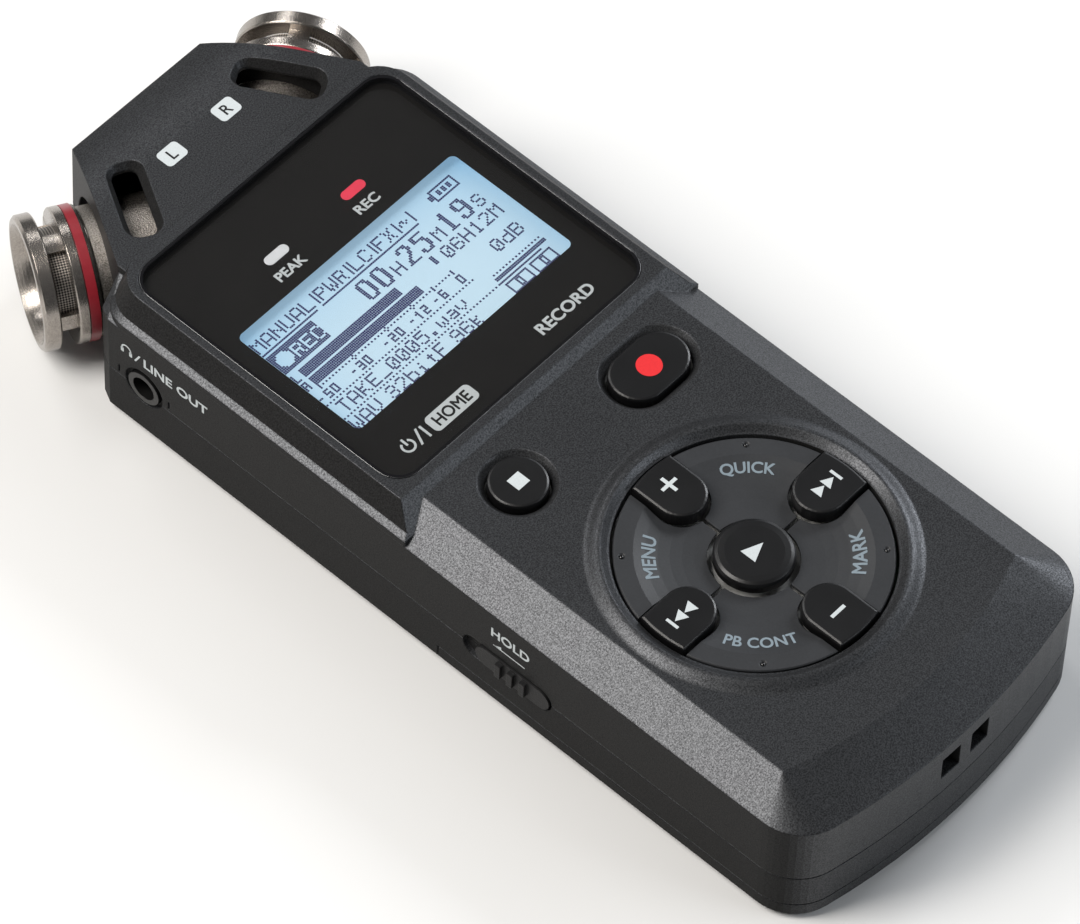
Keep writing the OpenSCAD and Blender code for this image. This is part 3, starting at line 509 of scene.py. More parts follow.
def drape(bm, node, base, lift=0.02):
    """Lowers a print, laid at height base, until it lies lift millimetres over a node's upper faces."""
    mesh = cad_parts[node].data
    tree = BVHTree.FromPolygons([v.co for v in mesh.vertices], [f.vertices for f in mesh.polygons])
    for v in bm.verts:
        under = tree.ray_cast(Vector((v.co.x, v.co.y, 1.0)), Vector((0, 0, -1)))[0]
        v.co.z += under.z + (lift - base) * MM
    return bm


def join(parts):
    """One mesh from (mesh or bmesh, place) pairs."""
    whole = bmesh.new()
    for part, place in parts:
        mesh = part
        if isinstance(part, bmesh.types.BMesh):
            mesh = bpy.data.meshes.new("part")
            part.to_mesh(mesh)
            part.free()
        mesh.transform(place)
        whole.from_mesh(mesh)
        bpy.data.meshes.remove(mesh)
    return whole


def thicken(bm, faces, thick):
    """Closes flat faces that lie thick above the origin into a plate that reaches as far below it."""
    made = bmesh.ops.extrude_face_region(bm, geom=faces)
    lower = [g for g in made["geom"] if isinstance(g, bmesh.types.BMVert)]
    bmesh.ops.translate(bm, verts=lower, vec=(0, 0, -2 * thick))
    bmesh.ops.recalc_face_normals(bm, faces=bm.faces)
    return bm


def plate(corners):
    """A thin closed plate with the given corners."""
    bm = bmesh.new()
    face = bm.faces.new([bm.verts.new((x, y, PRINT_THICK)) for x, y in corners])
    return thicken(bm, [face], PRINT_THICK)


def box_plate(width, height, radius, thick=PRINT_THICK, centre=(0, 0)):
    """A thin plate with rounded corners."""
    bm = bmesh.new()
    bmesh.ops.create_grid(bm, x_segments=1, y_segments=1, size=0.5)
    bmesh.ops.scale(bm, vec=(width, height, 1), verts=bm.verts)
    bmesh.ops.translate(bm, vec=(*centre, thick), verts=bm.verts)
    bmesh.ops.bevel(bm, geom=bm.verts[:], offset=radius, offset_type="OFFSET", segments=7,
                    profile=0.5, affect="VERTICES", material=-1)
    return thicken(bm, bm.faces[:], thick)


def ring_plate(inner, outer, start, sweep):
    """A thin part of a ring, from start degrees through sweep degrees."""
    bm = bmesh.new()
    x, y = math.cos(math.radians(start)), math.sin(math.radians(start))
    ends = [bm.verts.new((r * x, r * y, PRINT_THICK)) for r in (inner, outer)]
    edge = bm.edges.new(ends)
    bmesh.ops.spin(bm, geom=[*ends, edge], cent=(0, 0, 0), axis=(0, 0, 1),
                   angle=math.radians(sweep), steps=28)
    return thicken(bm, bm.faces[:], PRINT_THICK)


def bar(width, height):
    """A thin rectangle with crisp corners."""
    return box_plate(width, height, 0.02)


def disc_plate(radius):
    """A thin disc."""
    bm = bmesh.new()
    bmesh.ops.create_circle(bm, cap_ends=True, radius=radius, segments=40)
    bmesh.ops.translate(bm, vec=(0, 0, PRINT_THICK), verts=bm.verts)
    return thicken(bm, bm.faces[:], PRINT_THICK)


def shift(x, y, turn=0.0):
    """A place within a print."""
    return Matrix.Translation((x, y, 0)) @ Matrix.Rotation(math.radians(turn), 4, "Z")


# ---------------------------------------------------------------- display picture

# Each letter is one or more pen strokes over a grid five dots wide and seven high, parted by
# bars; a pair of figures is a column and a row.
STROKES = {
    "A": "00 05 16 36 45 40|02 42", "B": "00 06 36 45 44 33 03|33 42 41 30 00",
    "C": "45 36 16 05 01 10 30 41", "D": "00 06 26 44 42 20 00", "E": "46 06 00 40|03 33",
    "F": "46 06 00|03 33", "H": "00 06|40 46|03 43", "I": "16 36|26 20|10 30",
    "K": "00 06|46 03 40", "L": "06 00 40", "M": "00 06 24 46 40", "N": "00 06|05 41|40 46",
    "O": "01 05 16 36 45 41 30 10 01", "P": "00 06 36 45 44 33 03",
    "R": "00 06 36 45 44 33 03|23 40", "S": "45 36 16 05 04 13 33 42 41 30 10 01",
    "T": "06 46|26 20", "U": "06 01 10 30 41 46", "V": "06 02 20 42 46",
    "W": "06 01 10 23 30 41 46", "X": "00 46|06 40", "a": "14 34 43 40 10 01 12 42",
    "b": "06 00 30 41 43 34 04", "d": "46 40 10 01 03 14 44", "i": "13 23 20|10 30|25 25",
    "k": "05 00|34 02 30", "t": "25 21 30|14 34", "v": "04 02 20 42 44",
    "w": "04 01 10 22 30 41 44", "0": "10 01 05 16 36 45 41 30 10|11 45", "1": "15 26 20|10 30",
    "2": "05 16 36 45 44 00 40", "3": "05 16 36 45 44 33 13|33 42 41 30 10 01", "4": "30 36 02 42",
    "5": "46 06 04 34 43 41 30 10 01", "6": "45 36 16 05 01 10 30 41 42 33 03",
    "8": "13 04 05 16 36 45 44 33 13 02 01 10 30 41 42 33", "9": "01 10 30 41 45 36 16 05 04 13 43",
    "-": "13 33", "_": "00 40", ".": "10 11 21 20", "|": "10 16", "~": "02 14 24 32 43", " ": "",
}

# Small letters, three dots wide and five high, drawn the same way.
SMALL_STROKES = {
    "0": "00 04 24 20 00", "1": "14 10|03 14", "2": "04 24 22 02 00 20", "3": "04 24 20 00|02 22",
    "5": "24 04 02 22 20 00", "6": "24 04 00 20 22 02", "-": "02 12",
    "L": "04 00 20", "R": "00 04 24 22 02|12 20",
}


def stroke_dots(text, column, row, step=6, wide=4, tall=6, heavy=False, letters=STROKES):
    """The dots of a line of text whose lowest row of dots is row, counted down from the top."""
    dots = set()
    for letter in text:
        for stroke in filter(None, letters[letter].split("|")):
            pen = [(round(int(s[0]) * wide / 4), round(int(s[1]) * tall / 6)) for s in stroke.split()]
            for (x0, y0), (x1, y1) in zip(pen, pen[1:]):
                count = max(abs(x1 - x0), abs(y1 - y0), 1)
                for i in range(count + 1):
                    x = round(x0 + (x1 - x0) * i / count)
                    y = round(y0 + (y1 - y0) * i / count)
                    dots |= {(column + x + k, row - y) for k in range(2 if heavy else 1)}
        column += 3 if letter == "|" else step
    return dots


def block(left, top, right, bottom):
    """Every dot of a block."""
    return {(x, y) for x in range(left, right + 1) for y in range(top, bottom + 1)}


def dotted(row, left, right):
    """Every second dot of a row."""
    return {(x, row) for x in range(left, right + 1, 2)}


def display_dots():
    """The dark dots of the recording screen, as columns and rows from its top left corner."""
    dots = stroke_dots("MANUAL|PWR|LC|FX|~|", 0, 6) | block(0, 8, 96, 8) - block(34, 8, 36, 8)
    dots |= (block(0, 10, 27, 21) - stroke_dots("REC", 11, 19)
             - {d for d in block(2, 12, 9, 19) if math.dist(d, (5.5, 15.5)) < 4.2})
    for text, column, heavy in (("OO", 53, True), ("25", 78, True), ("19", 103, True)):
        dots |= stroke_dots(text, column, 21, step=9, wide=5, tall=10, heavy=heavy)
    for text, column in (("H", 71), ("M", 96), ("S", 121)):
        dots |= stroke_dots(text, column, 21)
    dots |= stroke_dots("06H12M", 92, 30) | block(86, 24, 87, 28)
    dots |= block(111, 0, 124, 6) - block(112, 1, 123, 5) | block(109, 2, 110, 4)
    dots |= {d for x in (114, 117, 120) for d in block(x, 2, x + 1, 4)}
    dots |= block(5, 24, 64, 28) | block(5, 30, 71, 34) | stroke_dots("L", 0, 28, letters=SMALL_STROKES)
    dots |= stroke_dots("R", 0, 34, letters=SMALL_STROKES)
    dots |= dotted(36, 5, 88) | {d for x in (5, 26, 46, 62, 75, 87) for d in ((x, 35), (x, 37))}
    for text, column in (("-50", 0), ("-30", 20), ("-20", 40), ("-12", 56), ("-6", 71), ("0", 86)):
        dots |= stroke_dots(text, column, 43, step=4, letters=SMALL_STROKES)
    dots |= stroke_dots("0dB", 109, 43)
    dots |= stroke_dots("TAKE_0005.wav", 3, 53)
    dots |= dotted(45, 0, 90) | dotted(55, 0, 96) | dotted(50, 98, 127)
    dots |= stroke_dots("WAV", 0, 63) | stroke_dots("32bitF", 22, 63) | stroke_dots("96k", 62, 63)
    dots |= block(97, 52, 127, 53) | block(97, 55, 122, 55)
    for left in (98, 113):
        dots |= block(left, 57, left + 12, 63) - block(left + 1, 58, left + 11, 62)
        dots |= stroke_dots("0", left + 5, 62, letters=SMALL_STROKES)
    return {(x, y) for x, y in dots if 0 <= x < SCREEN[0] and 0 <= y < SCREEN[1]}


# ---------------------------------------------------------------- settings

class RecorderFinish(bpy.types.PropertyGroup):
    """Colours and grain of the case and keys."""
    shell_tint: bpy.props.FloatVectorProperty(
        name="Shell tint", description="Base colour of the flake lacquer",
        subtype="COLOR", size=3, default=(0.047, 0.0485, 0.0515))
    # Painted shade: the darker colour painted on the front half's sideways faces.
    shaded_wall_tint: bpy.props.FloatVectorProperty(
        name="Wall tint", description="Base colour of the matt film on the front half's walls",
        subtype="COLOR", size=3, default=(0.0155, 0.0155, 0.0157))
    # Painted shade: the darker colour painted on the back half's and the door's faces that look neither up
    # nor towards the strap end.
    shaded_back_tint: bpy.props.FloatVectorProperty(
        name="Back tint", description="Base colour of the matt film on the back half",
        subtype="COLOR", size=3, default=(0.0145, 0.0145, 0.0147))
    key_tint: bpy.props.FloatVectorProperty(
        name="Key tint", description="Base colour of the black keys",
        subtype="COLOR", size=3, default=(0.004, 0.004, 0.0044))
    sector_tint: bpy.props.FloatVectorProperty(
        name="Ring key tint", description="Base colour of the four ring keys",
        subtype="COLOR", size=3, default=(0.0195, 0.0207, 0.023))
    nickel_tint: bpy.props.FloatVectorProperty(
        name="Nickel tint", description="Colour of the microphones' plating",
        subtype="COLOR", size=3, default=(0.37, 0.338, 0.307))
    band_tint: bpy.props.FloatVectorProperty(
        name="Band tint", description="Colour of the ring round each microphone",
        subtype="COLOR", size=3, default=linear(138, 28, 40))
    flake: bpy.props.FloatProperty(
        name="Flake", description="Size of the lacquer's flakes in millimetres",
        default=0.095, min=0.05, max=0.6)
    edge: bpy.props.FloatProperty(
        name="Edge", description="Radius of the case's edges in millimetres",
        default=0.32, min=0.0, max=1.0)


class RecorderDisplay(bpy.types.PropertyGroup):
    """Sizes and colours of the display, the prints and the lamps."""
    opening: bpy.props.FloatVectorProperty(
        name="Opening", description="Width and height of the display's opening in millimetres",
        size=2, default=(39.7, 20.7))
    opening_y: bpy.props.FloatProperty(
        name="Opening place", description="How far the opening lies below the glass's middle, in millimetres",
        default=2.7)
    dot_pitch: bpy.props.FloatProperty(
        name="Dot pitch", description="Distance between the display's dots in millimetres",
        default=0.296)
    crystal_tint: bpy.props.FloatVectorProperty(
        name="Display tint", description="Colour of the back-lit display",
        subtype="COLOR", size=3, default=linear(176, 200, 214))
    dot_tint: bpy.props.FloatVectorProperty(
        name="Dot tint", description="Colour of the display's dark dots",
        subtype="COLOR", size=3, default=linear(44, 42, 88))
    print_tint: bpy.props.FloatVectorProperty(
        name="Print tint", description="Colour of the printed legends",
        subtype="COLOR", size=3, default=linear(180, 186, 188))
    ring_print_tint: bpy.props.FloatVectorProperty(
        name="Ring print tint", description="Colour of the words on the ring keys",
        subtype="COLOR", size=3, default=linear(116, 128, 136))
    record_tint: bpy.props.FloatVectorProperty(
        name="Record tint", description="Colour of the record key's dot",
        subtype="COLOR", size=3, default=linear(200, 40, 44))
    lamp_tint: bpy.props.FloatVectorProperty(
        name="Lamp tint", description="Colour of the record lamp",
        subtype="COLOR", size=3, default=linear(212, 58, 80))


class RecorderStudio(bpy.types.PropertyGroup):
    """Light and camera."""
    key_power: bpy.props.FloatProperty(
        name="Main light", description="Power of the light over the left shoulder",
        default=9.5, unit="POWER")
    side_power: bpy.props.FloatProperty(
        name="Side light", description="Power of each of the weaker lights",
        default=2.6, unit="POWER")
    room: bpy.props.FloatProperty(
        name="Room", description="Brightness of the room", default=0.14, min=0.0, max=2.0)
    lens: bpy.props.FloatProperty(
        name="Lens", description="Focal length in millimetres", default=266.4, min=20.0, max=500.0)


# ---------------------------------------------------------------- operators

class RECORDER_OT_stage(bpy.types.Operator):
    """Make the pale floor, the soft lights and the camera"""
    bl_idname = "recorder.stage"
    bl_label = "Studio"

    def execute(self, context):
        studio, scene = context.scene.recorder_studio, context.scene
        bm = bmesh.new()
        bmesh.ops.create_circle(bm, cap_ends=True, radius=FLOOR_R, segments=64)
        mesh = bpy.data.meshes.new("floor")
        bm.to_mesh(mesh)
        bm.free()
        floor = bpy.data.objects.new("floor", mesh)
        scene.collection.objects.link(floor)
        p = Paint("floor_white")
        mesh.materials.append(p.done(p.surface({"Base Color": (0.66, 0.66, 0.657), "Roughness": 0.8})))
        world = bpy.data.worlds.new("room")
        world.use_nodes = True
        air = world.node_tree.nodes["Background"].inputs
        air["Color"].default_value = (0.96, 0.98, 1.0, 1)
        air["Strength"].default_value = studio.room
        scene.world = world
        key, side = studio.key_power, studio.side_power
        for name, way, distance, size, power, tint in (
                ("main_light", (-0.50, 0.36, 0.78), 0.85, (0.34, 0.62), key, (1.0, 0.965, 0.92)),
                ("end_light", (0.42, -0.78, 0.46), 0.9, (0.42, 0.3), side, (0.9, 0.95, 1.0)),
                ("right_light", (0.82, -0.01, 0.54), 0.9, (0.26, 0.26), side * 1.7, (0.93, 0.96, 1.0)),
                ("rim_light", (0.93, 0.36, 0.16), 0.9, (0.3, 0.4), side * 0.3, (0.9, 0.94, 1.0)),
                ("top_light", (0.12, 0.75, 0.75), 1.0, (0.5, 0.2), side * 0.8, (1, 1, 1))):
            self.lamp(scene, name, Vector(way).normalized(), distance, size, power, tint)
        self.camera(scene, studio.lens)
        scene.view_settings.view_transform = "Standard"
        return {"FINISHED"}

    def lamp(self, scene, name, way, distance, size, power, tint):
        """A soft rectangular light that faces the object from a direction, sizes in metres."""
        data = bpy.data.lights.new(name, "AREA")
        data.shape, (data.size, data.size_y) = "RECTANGLE", size
        data.energy, data.color = power, tint
        made = bpy.data.objects.new(name, data)
        scene.collection.objects.link(made)
        made.location = way * distance
        made.rotation_euler = way.to_track_quat("Z", "Y").to_euler()

    def camera(self, scene, lens):
        """The camera, looking down over the strap end's left corner."""
        data = bpy.data.cameras.new("camera")
        data.lens, data.sensor_width, data.sensor_fit = lens, 36.0, "HORIZONTAL"
        data.clip_start, data.clip_end = 0.05, 30.0
        camera = bpy.data.objects.new("camera", data)
        scene.collection.objects.link(camera)
        back = -Vector(CAMERA_LOOK).normalized()
        up = Vector(CAMERA_UP)
        up = (up - back * up.dot(back)).normalized()
        turn = Matrix((up.cross(back), up, back)).transposed()
        camera.matrix_world = Matrix.Translation(CAMERA_AT) @ turn.to_4x4()
        scene.camera = camera


class RECORDER_OT_case(bpy.types.Operator):
    """Finish the shells, the battery door, the screws and the rubber cover"""
    bl_idname = "recorder.case"
    bl_label = "Case"

    def execute(self, context):
        look = context.scene.recorder_finish
        # The third column is the darker colour painted on each part's sides as painted shade.
        for node, name, film_and_painted_shade, metallic, roughness, edge in (
                ("front_shell", "flake_lacquer", look.shaded_wall_tint, 0.75, 0.40, look.edge),
                ("back_shell", "back_lacquer", look.shaded_back_tint, 0.6, 0.46, 0.25),
                ("battery_door", "door_lacquer", look.shaded_back_tint, 0.6, 0.46, 0.2)):
            coat(node, flake_paint(name, look.shell_tint[:], film_and_painted_shade[:], look.flake, metallic, roughness,
                                   edge))
        coat("card_cover", moulded_plastic("cover_rubber", (0.018, 0.018, 0.019), 0.3, 0.6, 0.15))
        coat("case_screws", plated("blackened_steel", (0.05, 0.05, 0.052), 0.3))
        coat("tripod_nut", threaded_brass("insert_brass", (0.62, 0.5, 0.3), 1.27))
        coat("speaker", moulded_plastic("speaker_cloth", (0.012, 0.012, 0.012), 0.35, 0.8, 0.0, 0.1))
        return {"FINISHED"}


class RECORDER_OT_display(bpy.types.Operator):
    """Make the cover glass, its print, the back-lit display and its dots"""
    bl_idname = "recorder.display"
    bl_label = "Display"

    def execute(self, context):
        sizes = context.scene.recorder_display
        low, high = [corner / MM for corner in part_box("display_window")]
        glass_width, glass_height = high.x - low.x, high.y - low.y
        coat("display_window", window_glass("cover_glass", glass_width / 2, glass_height / 2))
        coat("lcd_frame", moulded_plastic("carrier_white", (0.6, 0.6, 0.58), 0.4, 0.5, 0.1))
        width, height = sizes.opening
        centre_y = WINDOW.y - sizes.opening_y
        print_z = low.z - 0.03
        # the black print, with its opening, just under the glass
        mask = box_plate(glass_width - 0.3, glass_height - 0.3, WINDOW_CORNER - 0.15, 0.004,
                         (0, WINDOW.y))
        hole = box_plate(width, height, 0.9, 0.2, (0, centre_y))
        sheet = piece("window_print", join([(mask, deck_place(0, 0, print_z))]), self.black(), "case")
        cutter = bpy.data.objects.new("cutter", bpy.data.meshes.new("cutter"))
        join([(hole, deck_place(0, 0, print_z))]).to_mesh(cutter.data)
        context.scene.collection.objects.link(cutter)
        cut = sheet.modifiers.new("opening", "BOOLEAN")
        cut.operation, cut.object, cut.solver = "DIFFERENCE", cutter, "EXACT"
        context.view_layer.update()
        done = bpy.data.meshes.new_from_object(sheet.evaluated_get(context.evaluated_depsgraph_get()))
        sheet.modifiers.clear()
        sheet.data = done
        bpy.data.objects.remove(cutter)
        # the display cell: a shallow tray that glows, and the dots on its floor
        panel_low, panel_high = [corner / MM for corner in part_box("lcd_panel")]
        floor_z = panel_low.z + 0.3
        tray = bmesh.new()
        bmesh.ops.create_cube(tray, size=1.0)
        bmesh.ops.scale(tray, vec=panel_high - panel_low, verts=tray.verts)
        top = max(tray.faces, key=lambda f: f.calc_center_median().z)
        bmesh.ops.inset_region(tray, faces=[top], thickness=0.5)
        bmesh.ops.translate(tray, verts=top.verts[:], vec=(0, 0, floor_z - panel_high.z))
        tray_place = Matrix.Translation((panel_low + panel_high) / 2 * MM) @ Matrix.Scale(MM, 4)
        lit = lit_crystal("lit_crystal", sizes.crystal_tint[:],
                          Vector((-width / 2, centre_y - height / 2)),
                          Vector((width / 2, centre_y + height / 2)))
        cell = piece("display_cell", join([(tray, tray_place)]), lit, "case")
        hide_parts("lcd_panel")
        pitch = sizes.dot_pitch
        field = bmesh.new()
        for column, row in display_dots():
            across, down = column + 0.5 - SCREEN[0] / 2, row + 0.5 - SCREEN[1] / 2
            spot = Matrix.Translation((across * pitch, -down * pitch, PRINT_THICK))
            bmesh.ops.create_grid(field, x_segments=1, y_segments=1, size=pitch * 0.455, matrix=spot)
        dark = ink("dot_ink", sizes.dot_tint[:], 0.4)
        piece("display_dots", join([(field, deck_place(-0.05, centre_y - 0.2, floor_z))]), dark, "case")
        self.bead(glass_width, glass_height, high.z)
        self.legends(low.z - PRINT_GAP, sizes.print_tint[:])
        return {"FINISHED"}

    def black(self):
        """The black ink behind the glass."""
        p = Paint("window_black")
        haze = p.speckle(3.0, 2.0)
        return p.done(p.surface({
            "Base Color": p.between(haze, (0.0055, 0.0052, 0.005), (0.009, 0.0085, 0.008)),
            "Roughness": 0.55 + haze * 0.1, "Specular IOR Level": 0.1}))

    def bead(self, glass_width, glass_height, top_z):
        """The glossy bead of sealant in the gap round the glass."""
        ring = box_plate(glass_width + 0.15, glass_height + 0.15, WINDOW_CORNER + 0.075, 0.0,
                         (0, WINDOW.y))
        corners = sorted({(round(v.co.x, 4), round(v.co.y, 4)) for v in ring.verts},
                         key=lambda c: math.atan2(c[1] - WINDOW.y, c[0]))
        ring.free()
        curve = bpy.data.curves.new("bead", "CURVE")
        curve.dimensions, curve.bevel_depth, curve.bevel_resolution = "3D", BEAD_R * MM, 3
        line = curve.splines.new("POLY")
        line.points.add(len(corners) - 1)
        for point, (x, y) in zip(line.points, corners):
            point.co = (x * MM, y * MM, (top_z - BEAD_R) * MM, 1)
        line.use_cyclic_u = True
        sealant = plated("sealant", (0.09, 0.09, 0.092), 0.16, 0.0)
        smooth(piece("window_bead", mesh_of(curve), sealant, "case"))

    def legends(self, z, tint):
        """The signs and words under the glass: power, home, record, peak and rec."""
        y = WINDOW.y - 19.1
        power = [(ring_plate(0.72, 1.04, 125, 290), shift(-17.3, y)),
                 (bar(0.32, 1.2), shift(-17.3, y + 0.7)),
                 (plate([(-0.7, -1.15), (-0.34, -1.15), (0.7, 1.15), (0.34, 1.15)]), shift(-15.4, y)),
                 (bar(0.34, 2.1), shift(-14.25, y)),
                 (box_plate(7.9, 2.75, 0.75), shift(HOME_X, y))]
        rest = [(words("RECORD", SIGN_HEIGHT, 9.9, 0.03), shift(11.6, y + 0.05)),
                (words("PEAK", 1.5, 4.9, 0.03), shift(-7.35, LAMP_WORD_Y)),
                (words("REC", 1.5, 3.9, 0.03), shift(6.7, LAMP_WORD_Y))]
        whole = join([(mesh, deck_place(0, 0, z) @ place) for mesh, place in power + rest])
        piece("window_legends", whole, ink("legend_white", tint), "case")
        home = words("HOME", 1.75, 6.1, 0.022)
        piece("home_word", join([(home, deck_place(HOME_X, y, z + PRINT_THICK))]),
              ink("legend_black", (0.01, 0.01, 0.01)), "case")


class RECORDER_OT_lamps(bpy.types.Operator):
    """Finish the two status lamps and their lenses under the glass"""
    bl_idname = "recorder.lamps"
    bl_label = "Lamps"

    def execute(self, context):
        red = context.scene.recorder_display.lamp_tint[:]
        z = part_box("display_window")[0].z / MM - PRINT_GAP
        white = linear(202, 205, 208)
        for node, tint, glow in (("peak_lamp", white, 0.05), ("record_lamp", red, 0.15)):
            coat(node, lamp_lens(node + "_body", tint, glow))
            at = middle(node)
            lens = box_plate(3.95, 1.5, 0.749)
            piece(node + "_lens", join([(lens, deck_place(at.x, at.y - 0.8, z))]),
                  lamp_lens(node + "_face", tint, glow), "case")
        return {"FINISHED"}


class RECORDER_OT_keys(bpy.types.Operator):
    """Finish the eleven keys and print their signs"""
    bl_idname = "recorder.keys"
    bl_label = "Keys"

    def execute(self, context):
        look, shown = context.scene.recorder_finish, context.scene.recorder_display
        for key in PLAIN_KEYS:
            coat(key + "_key", satin_key(key + "_satin", look.key_tint[:], 0.3, 0.12, 0.36))
        for key in RING_KEYS:
            coat(key + "_key", satin_key(key + "_satin", look.sector_tint[:], 0.4, 0.12, 0.36))
            self.pin(key, look)
        white = ink("key_white", shown.print_tint[:])
        ring_white = ink("ring_key_white", shown.ring_print_tint[:])
        red = ink("key_red", shown.record_tint[:])
        for key, parts in self.signs().items():
            at, node = middle(key + "_key"), key + "_key"
            whole = join([(mesh, deck_place(0, 0, at.z) @ place) for mesh, place in parts(at)])
            finish = red if key == "record" else ring_white if key in RING_KEYS else white
            piece(key + "_sign", drape(whole, node, at.z), finish, node)
        return {"FINISHED"}

    def pin(self, key, look):
        """The glossy round-headed pin in a ring key's dimple, out along the middle of the key."""
        at = middle(key + "_key")
        x = PAD.x + math.copysign(PIN_OUT, at.x - PAD.x)
        y = PAD.y + math.copysign(PIN_OUT, at.y - PAD.y)
        head = bmesh.new()
        bmesh.ops.create_uvsphere(head, u_segments=20, v_segments=12, radius=PIN_R)
        bmesh.ops.scale(head, vec=(1, 1, PIN_FLATNESS), verts=head.verts)
        made = piece(key + "_pin", join([(head, deck_place(x, y, at.z - PIN_DEPTH))]),
                     satin_key(key + "_pin_gloss", look.key_tint[:], 0.1, 0.0), key + "_key")
        smooth(made)

    def signs(self):
        """What each key shows: for each, what makes its list of (mesh, place) from the key's middle."""
        def skip(way):
            arrow = [(0, -0.88), (way * 1.62, 0), (0, 0.88)][::way]
            return lambda at: [(plate(arrow), shift(PAD.x + way * 11.35, PAD.y)),
                               (plate(arrow), shift(PAD.x + way * 13.1, PAD.y)),
                               (bar(0.42, 1.9), shift(PAD.x + way * 15.2, PAD.y))]

        def cross(at):
            middle_y, thick, arm = PAD.y + 14.05, 0.5, 1.05
            off = (thick + arm) / 2
            return [(bar(2.6, thick), shift(at.x, middle_y)),
                    (bar(thick, arm), shift(at.x, middle_y + off)),
                    (bar(thick, arm), shift(at.x, middle_y - off))]

        def around(text, turn, width, upright):
            way, side = math.radians(turn), 1 if upright else -1
            place = shift(PAD.x + RING_WORD_R * math.cos(way), PAD.y + RING_WORD_R * math.sin(way),
                          turn - 90 * side)
            return lambda at: [(words(text, SIGN_HEIGHT, width, 0.024, RING_WORD_R * side), place)]

        return {
            "record": lambda at: [(disc_plate(1.7), shift(at.x, at.y))],
            "stop": lambda at: [(bar(2.05, 2.05), shift(at.x, at.y))],
            "play": lambda at: [(plate([(-1.28, -1.2), (1.6, 0), (-1.28, 1.2)]), shift(at.x, at.y))],
            "plus": cross,
            "minus": lambda at: [(bar(2.4, 0.5), shift(at.x, PAD.y - 13.5))],
            "rewind": skip(-1), "forward": skip(1),
            "quick": around("QUICK", 45, 6.9, True), "menu": around("MENU", 135, 6.3, True),
            "mark": around("MARK", -45, 6.4, False), "playback": around("PB CONT", 225, 9.1, False),
        }


class RECORDER_OT_microphones(bpy.types.Operator):
    """Finish the two microphones and print L and R beside them"""
    bl_idname = "recorder.microphones"
    bl_label = "Microphones"

    def execute(self, context):
        look, shown = context.scene.recorder_finish, context.scene.recorder_display
        nickel = look.nickel_tint[:]
        for side in SIDES:
            coat(side + "_mic_housing", turned_metal(side + "_turned_nickel", side, nickel, 0.2, 0.12))
            coat(side + "_mic_barrel", turned_metal(side + "_blasted_nickel", side, nickel, 0.3, 1.0))
            coat(side + "_mic_band", anodised(side + "_band_enamel", side, look.band_tint[:]))
            coat(side + "_mic_mesh", knurled_metal(side + "_knurl", side, nickel))
            coat(side + "_mic_capsule", plated(side + "_capsule_brass", (0.5, 0.4, 0.24), 0.3))
        y = MIC_REACH[1] - 0.85
        white = ink("side_white", shown.print_tint[:])
        black = ink("side_black", (0.012, 0.012, 0.013))
        for letter, x in (("L", -4.95), ("R", 4.95)):
            box = join([(box_plate(3.5, 2.8, 0.62), deck_place(x, y, 0))])
            sign = join([(words(letter, 1.62, None, 0.01), deck_place(x, y, 0))])
            piece("side_box_" + letter, drape(box, "front_shell", 0), white, "case")
            piece("side_letter_" + letter, drape(sign, "front_shell", 0, 0.035), black, "case")
        return {"FINISHED"}


class RECORDER_OT_sockets(bpy.types.Operator):
    """Finish the sockets and the hold slider, and print the left wall"""
    bl_idname = "recorder.sockets"
    bl_label = "Sockets and slider"

    def execute(self, context):
        for node in ("phones_jack", "ext_mic_jack"):
            coat(node, satin_key(node + "_nylon", (0.006, 0.006, 0.006), 0.26, 0.12, gloss=0.3))
        coat("usb_port", plated("port_steel", (0.5, 0.5, 0.5), 0.22, 0.05))
        coat("card_socket", plated("socket_steel_plate", (0.45, 0.45, 0.46), 0.25))
        coat("memory_card", moulded_plastic("card_shell", (0.02, 0.02, 0.025), 0.3, 0.4, 0.05))
        coat("hold_slider", moulded_plastic("slider_moulding", (0.012, 0.012, 0.0125), 0.14, 0.42, 0.15,
                                            gloss=0.15))
        coat("hold_switch", plated("switch_steel_plate", (0.5, 0.5, 0.48), 0.3))
        tint = context.scene.recorder_display.print_tint[:]
        jack_y, slot_y = middle("phones_jack").y, middle("hold_slider").y
        headset_y = jack_y + 2.95
        headset = [(ring_plate(0.62, 0.86, -20, 220), wall_place(headset_y, 15.5)),
                   (box_plate(0.5, 0.85, 0.12), wall_place(headset_y + 0.72, 15.0)),
                   (box_plate(0.5, 0.85, 0.12), wall_place(headset_y - 0.72, 15.0))]
        slash = plate([(-0.55, -0.8), (-0.25, -0.8), (0.55, 0.8), (0.25, 0.8)])
        line_out = [(slash, wall_place(jack_y + 1.05, 15.35)),
                    (words("LINE OUT", 1.75, 11.0, 0.026), wall_place(jack_y - 5.55, 15.4))]
        piece("phones_legend", join(headset + line_out), ink("wall_white", tint), "case")
        arrow_place = wall_place(slot_y + 0.8, 12.75)
        arrow = [(plate([(-2.6, -0.09), (2.6, -0.09), (2.6, 0.09), (-2.6, 0.09)]), arrow_place),
                 (plate([(-2.6, -0.09), (-1.3, 0.09), (-1.3, 0.62)]), arrow_place)]
        hold = [(words("HOLD", 1.75, 6.3, 0.024), wall_place(slot_y + 0.65, 15.3))]
        piece("hold_legend", join(hold + arrow), ink("hold_white", tint), "case")
        return {"FINISHED"}


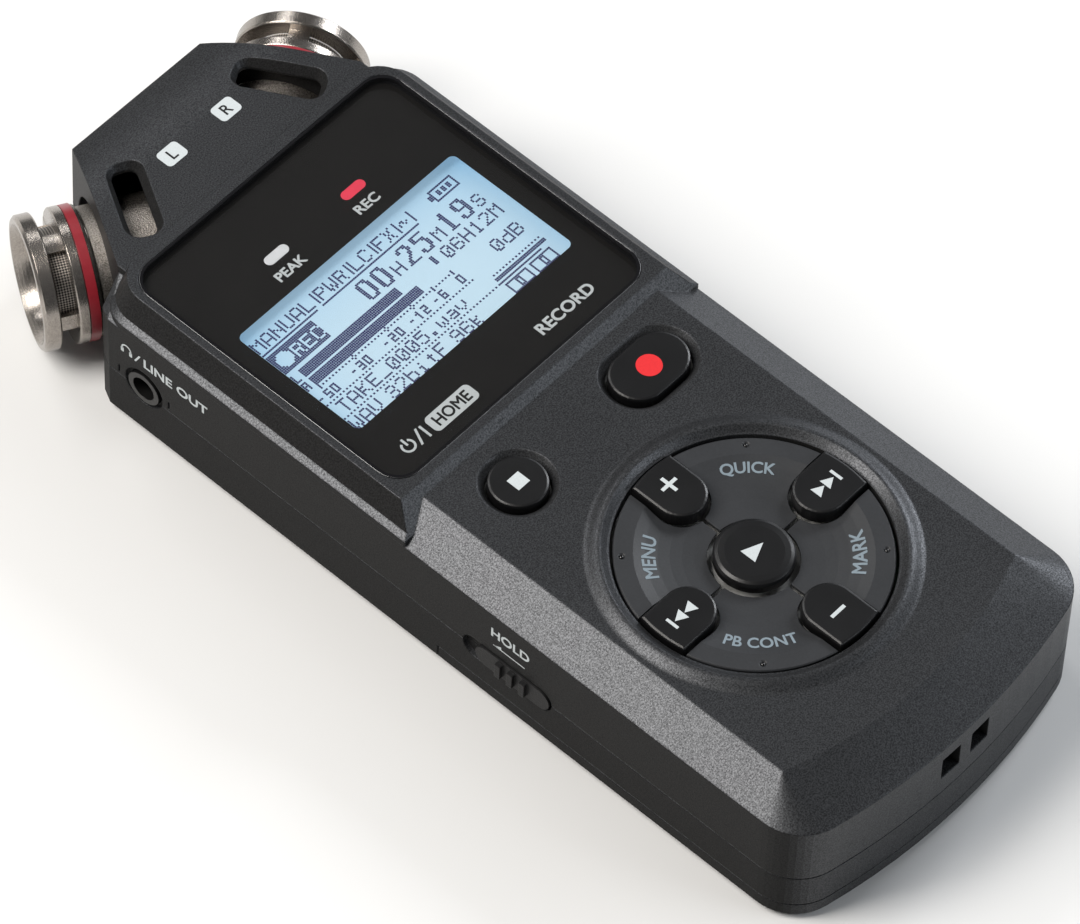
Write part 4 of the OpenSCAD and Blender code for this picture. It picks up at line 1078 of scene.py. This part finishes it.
class RECORDER_OT_inside(bpy.types.Operator):
    """Finish the boards, the cells and the contacts inside"""
    bl_idname = "recorder.inside"
    bl_label = "Inside"

    def execute(self, context):
        for node in ("main_board", "io_board"):
            coat(node, board_enamel(node + "_enamel", (0.012, 0.075, 0.03)))
        coat("board_link", moulded_plastic("link_nylon", (0.02, 0.02, 0.02), 0.3, 0.5, 0.1))
        coat("key_mat", moulded_plastic("mat_rubber", (0.3, 0.3, 0.29), 0.5, 0.6, 0.15))
        coat("left_cell", cell_sleeve("left_sleeve", True))
        coat("right_cell", cell_sleeve("right_sleeve", False))
        nickel = (0.62, 0.62, 0.6)
        coat("cell_springs", plated("spring_wire", nickel, 0.18, 0.0))
        coat("cell_plates", plated("contact_plate", nickel, 0.22))
        coat("cell_bridge", plated("bridge_plate", nickel, 0.22))
        coat("board_screws", plated("screw_zinc", (0.55, 0.55, 0.56), 0.25))
        return {"FINISHED"}


class RECORDER_PT_panel(bpy.types.Panel):
    """The recorder's steps and settings"""
    bl_label = "Field recorder"
    bl_idname = "RECORDER_PT_panel"
    bl_space_type = "VIEW_3D"
    bl_region_type = "UI"
    bl_category = "Recorder"

    def draw(self, context):
        for step in STEPS:
            self.layout.operator(step.bl_idname)
        for name in GROUPS:
            group = getattr(context.scene, name)
            for key in group.__annotations__:
                self.layout.prop(group, key)


STEPS = (RECORDER_OT_stage, RECORDER_OT_case, RECORDER_OT_display, RECORDER_OT_lamps, RECORDER_OT_keys,
         RECORDER_OT_microphones, RECORDER_OT_sockets, RECORDER_OT_inside)
GROUPS = {"recorder_finish": RecorderFinish, "recorder_display": RecorderDisplay,
          "recorder_studio": RecorderStudio}


def register():
    for kind in (*GROUPS.values(), *STEPS, RECORDER_PT_panel):
        bpy.utils.register_class(kind)
    for name, kind in GROUPS.items():
        setattr(bpy.types.Scene, name, bpy.props.PointerProperty(type=kind))


def unregister():
    for name in GROUPS:
        delattr(bpy.types.Scene, name)
    for kind in reversed((*GROUPS.values(), *STEPS, RECORDER_PT_panel)):
        bpy.utils.unregister_class(kind)


def main():
    register()
    for step in STEPS:
        group, name = step.bl_idname.split(".")
        getattr(getattr(bpy.ops, group), name)()


if __name__ == "__main__":
    main()
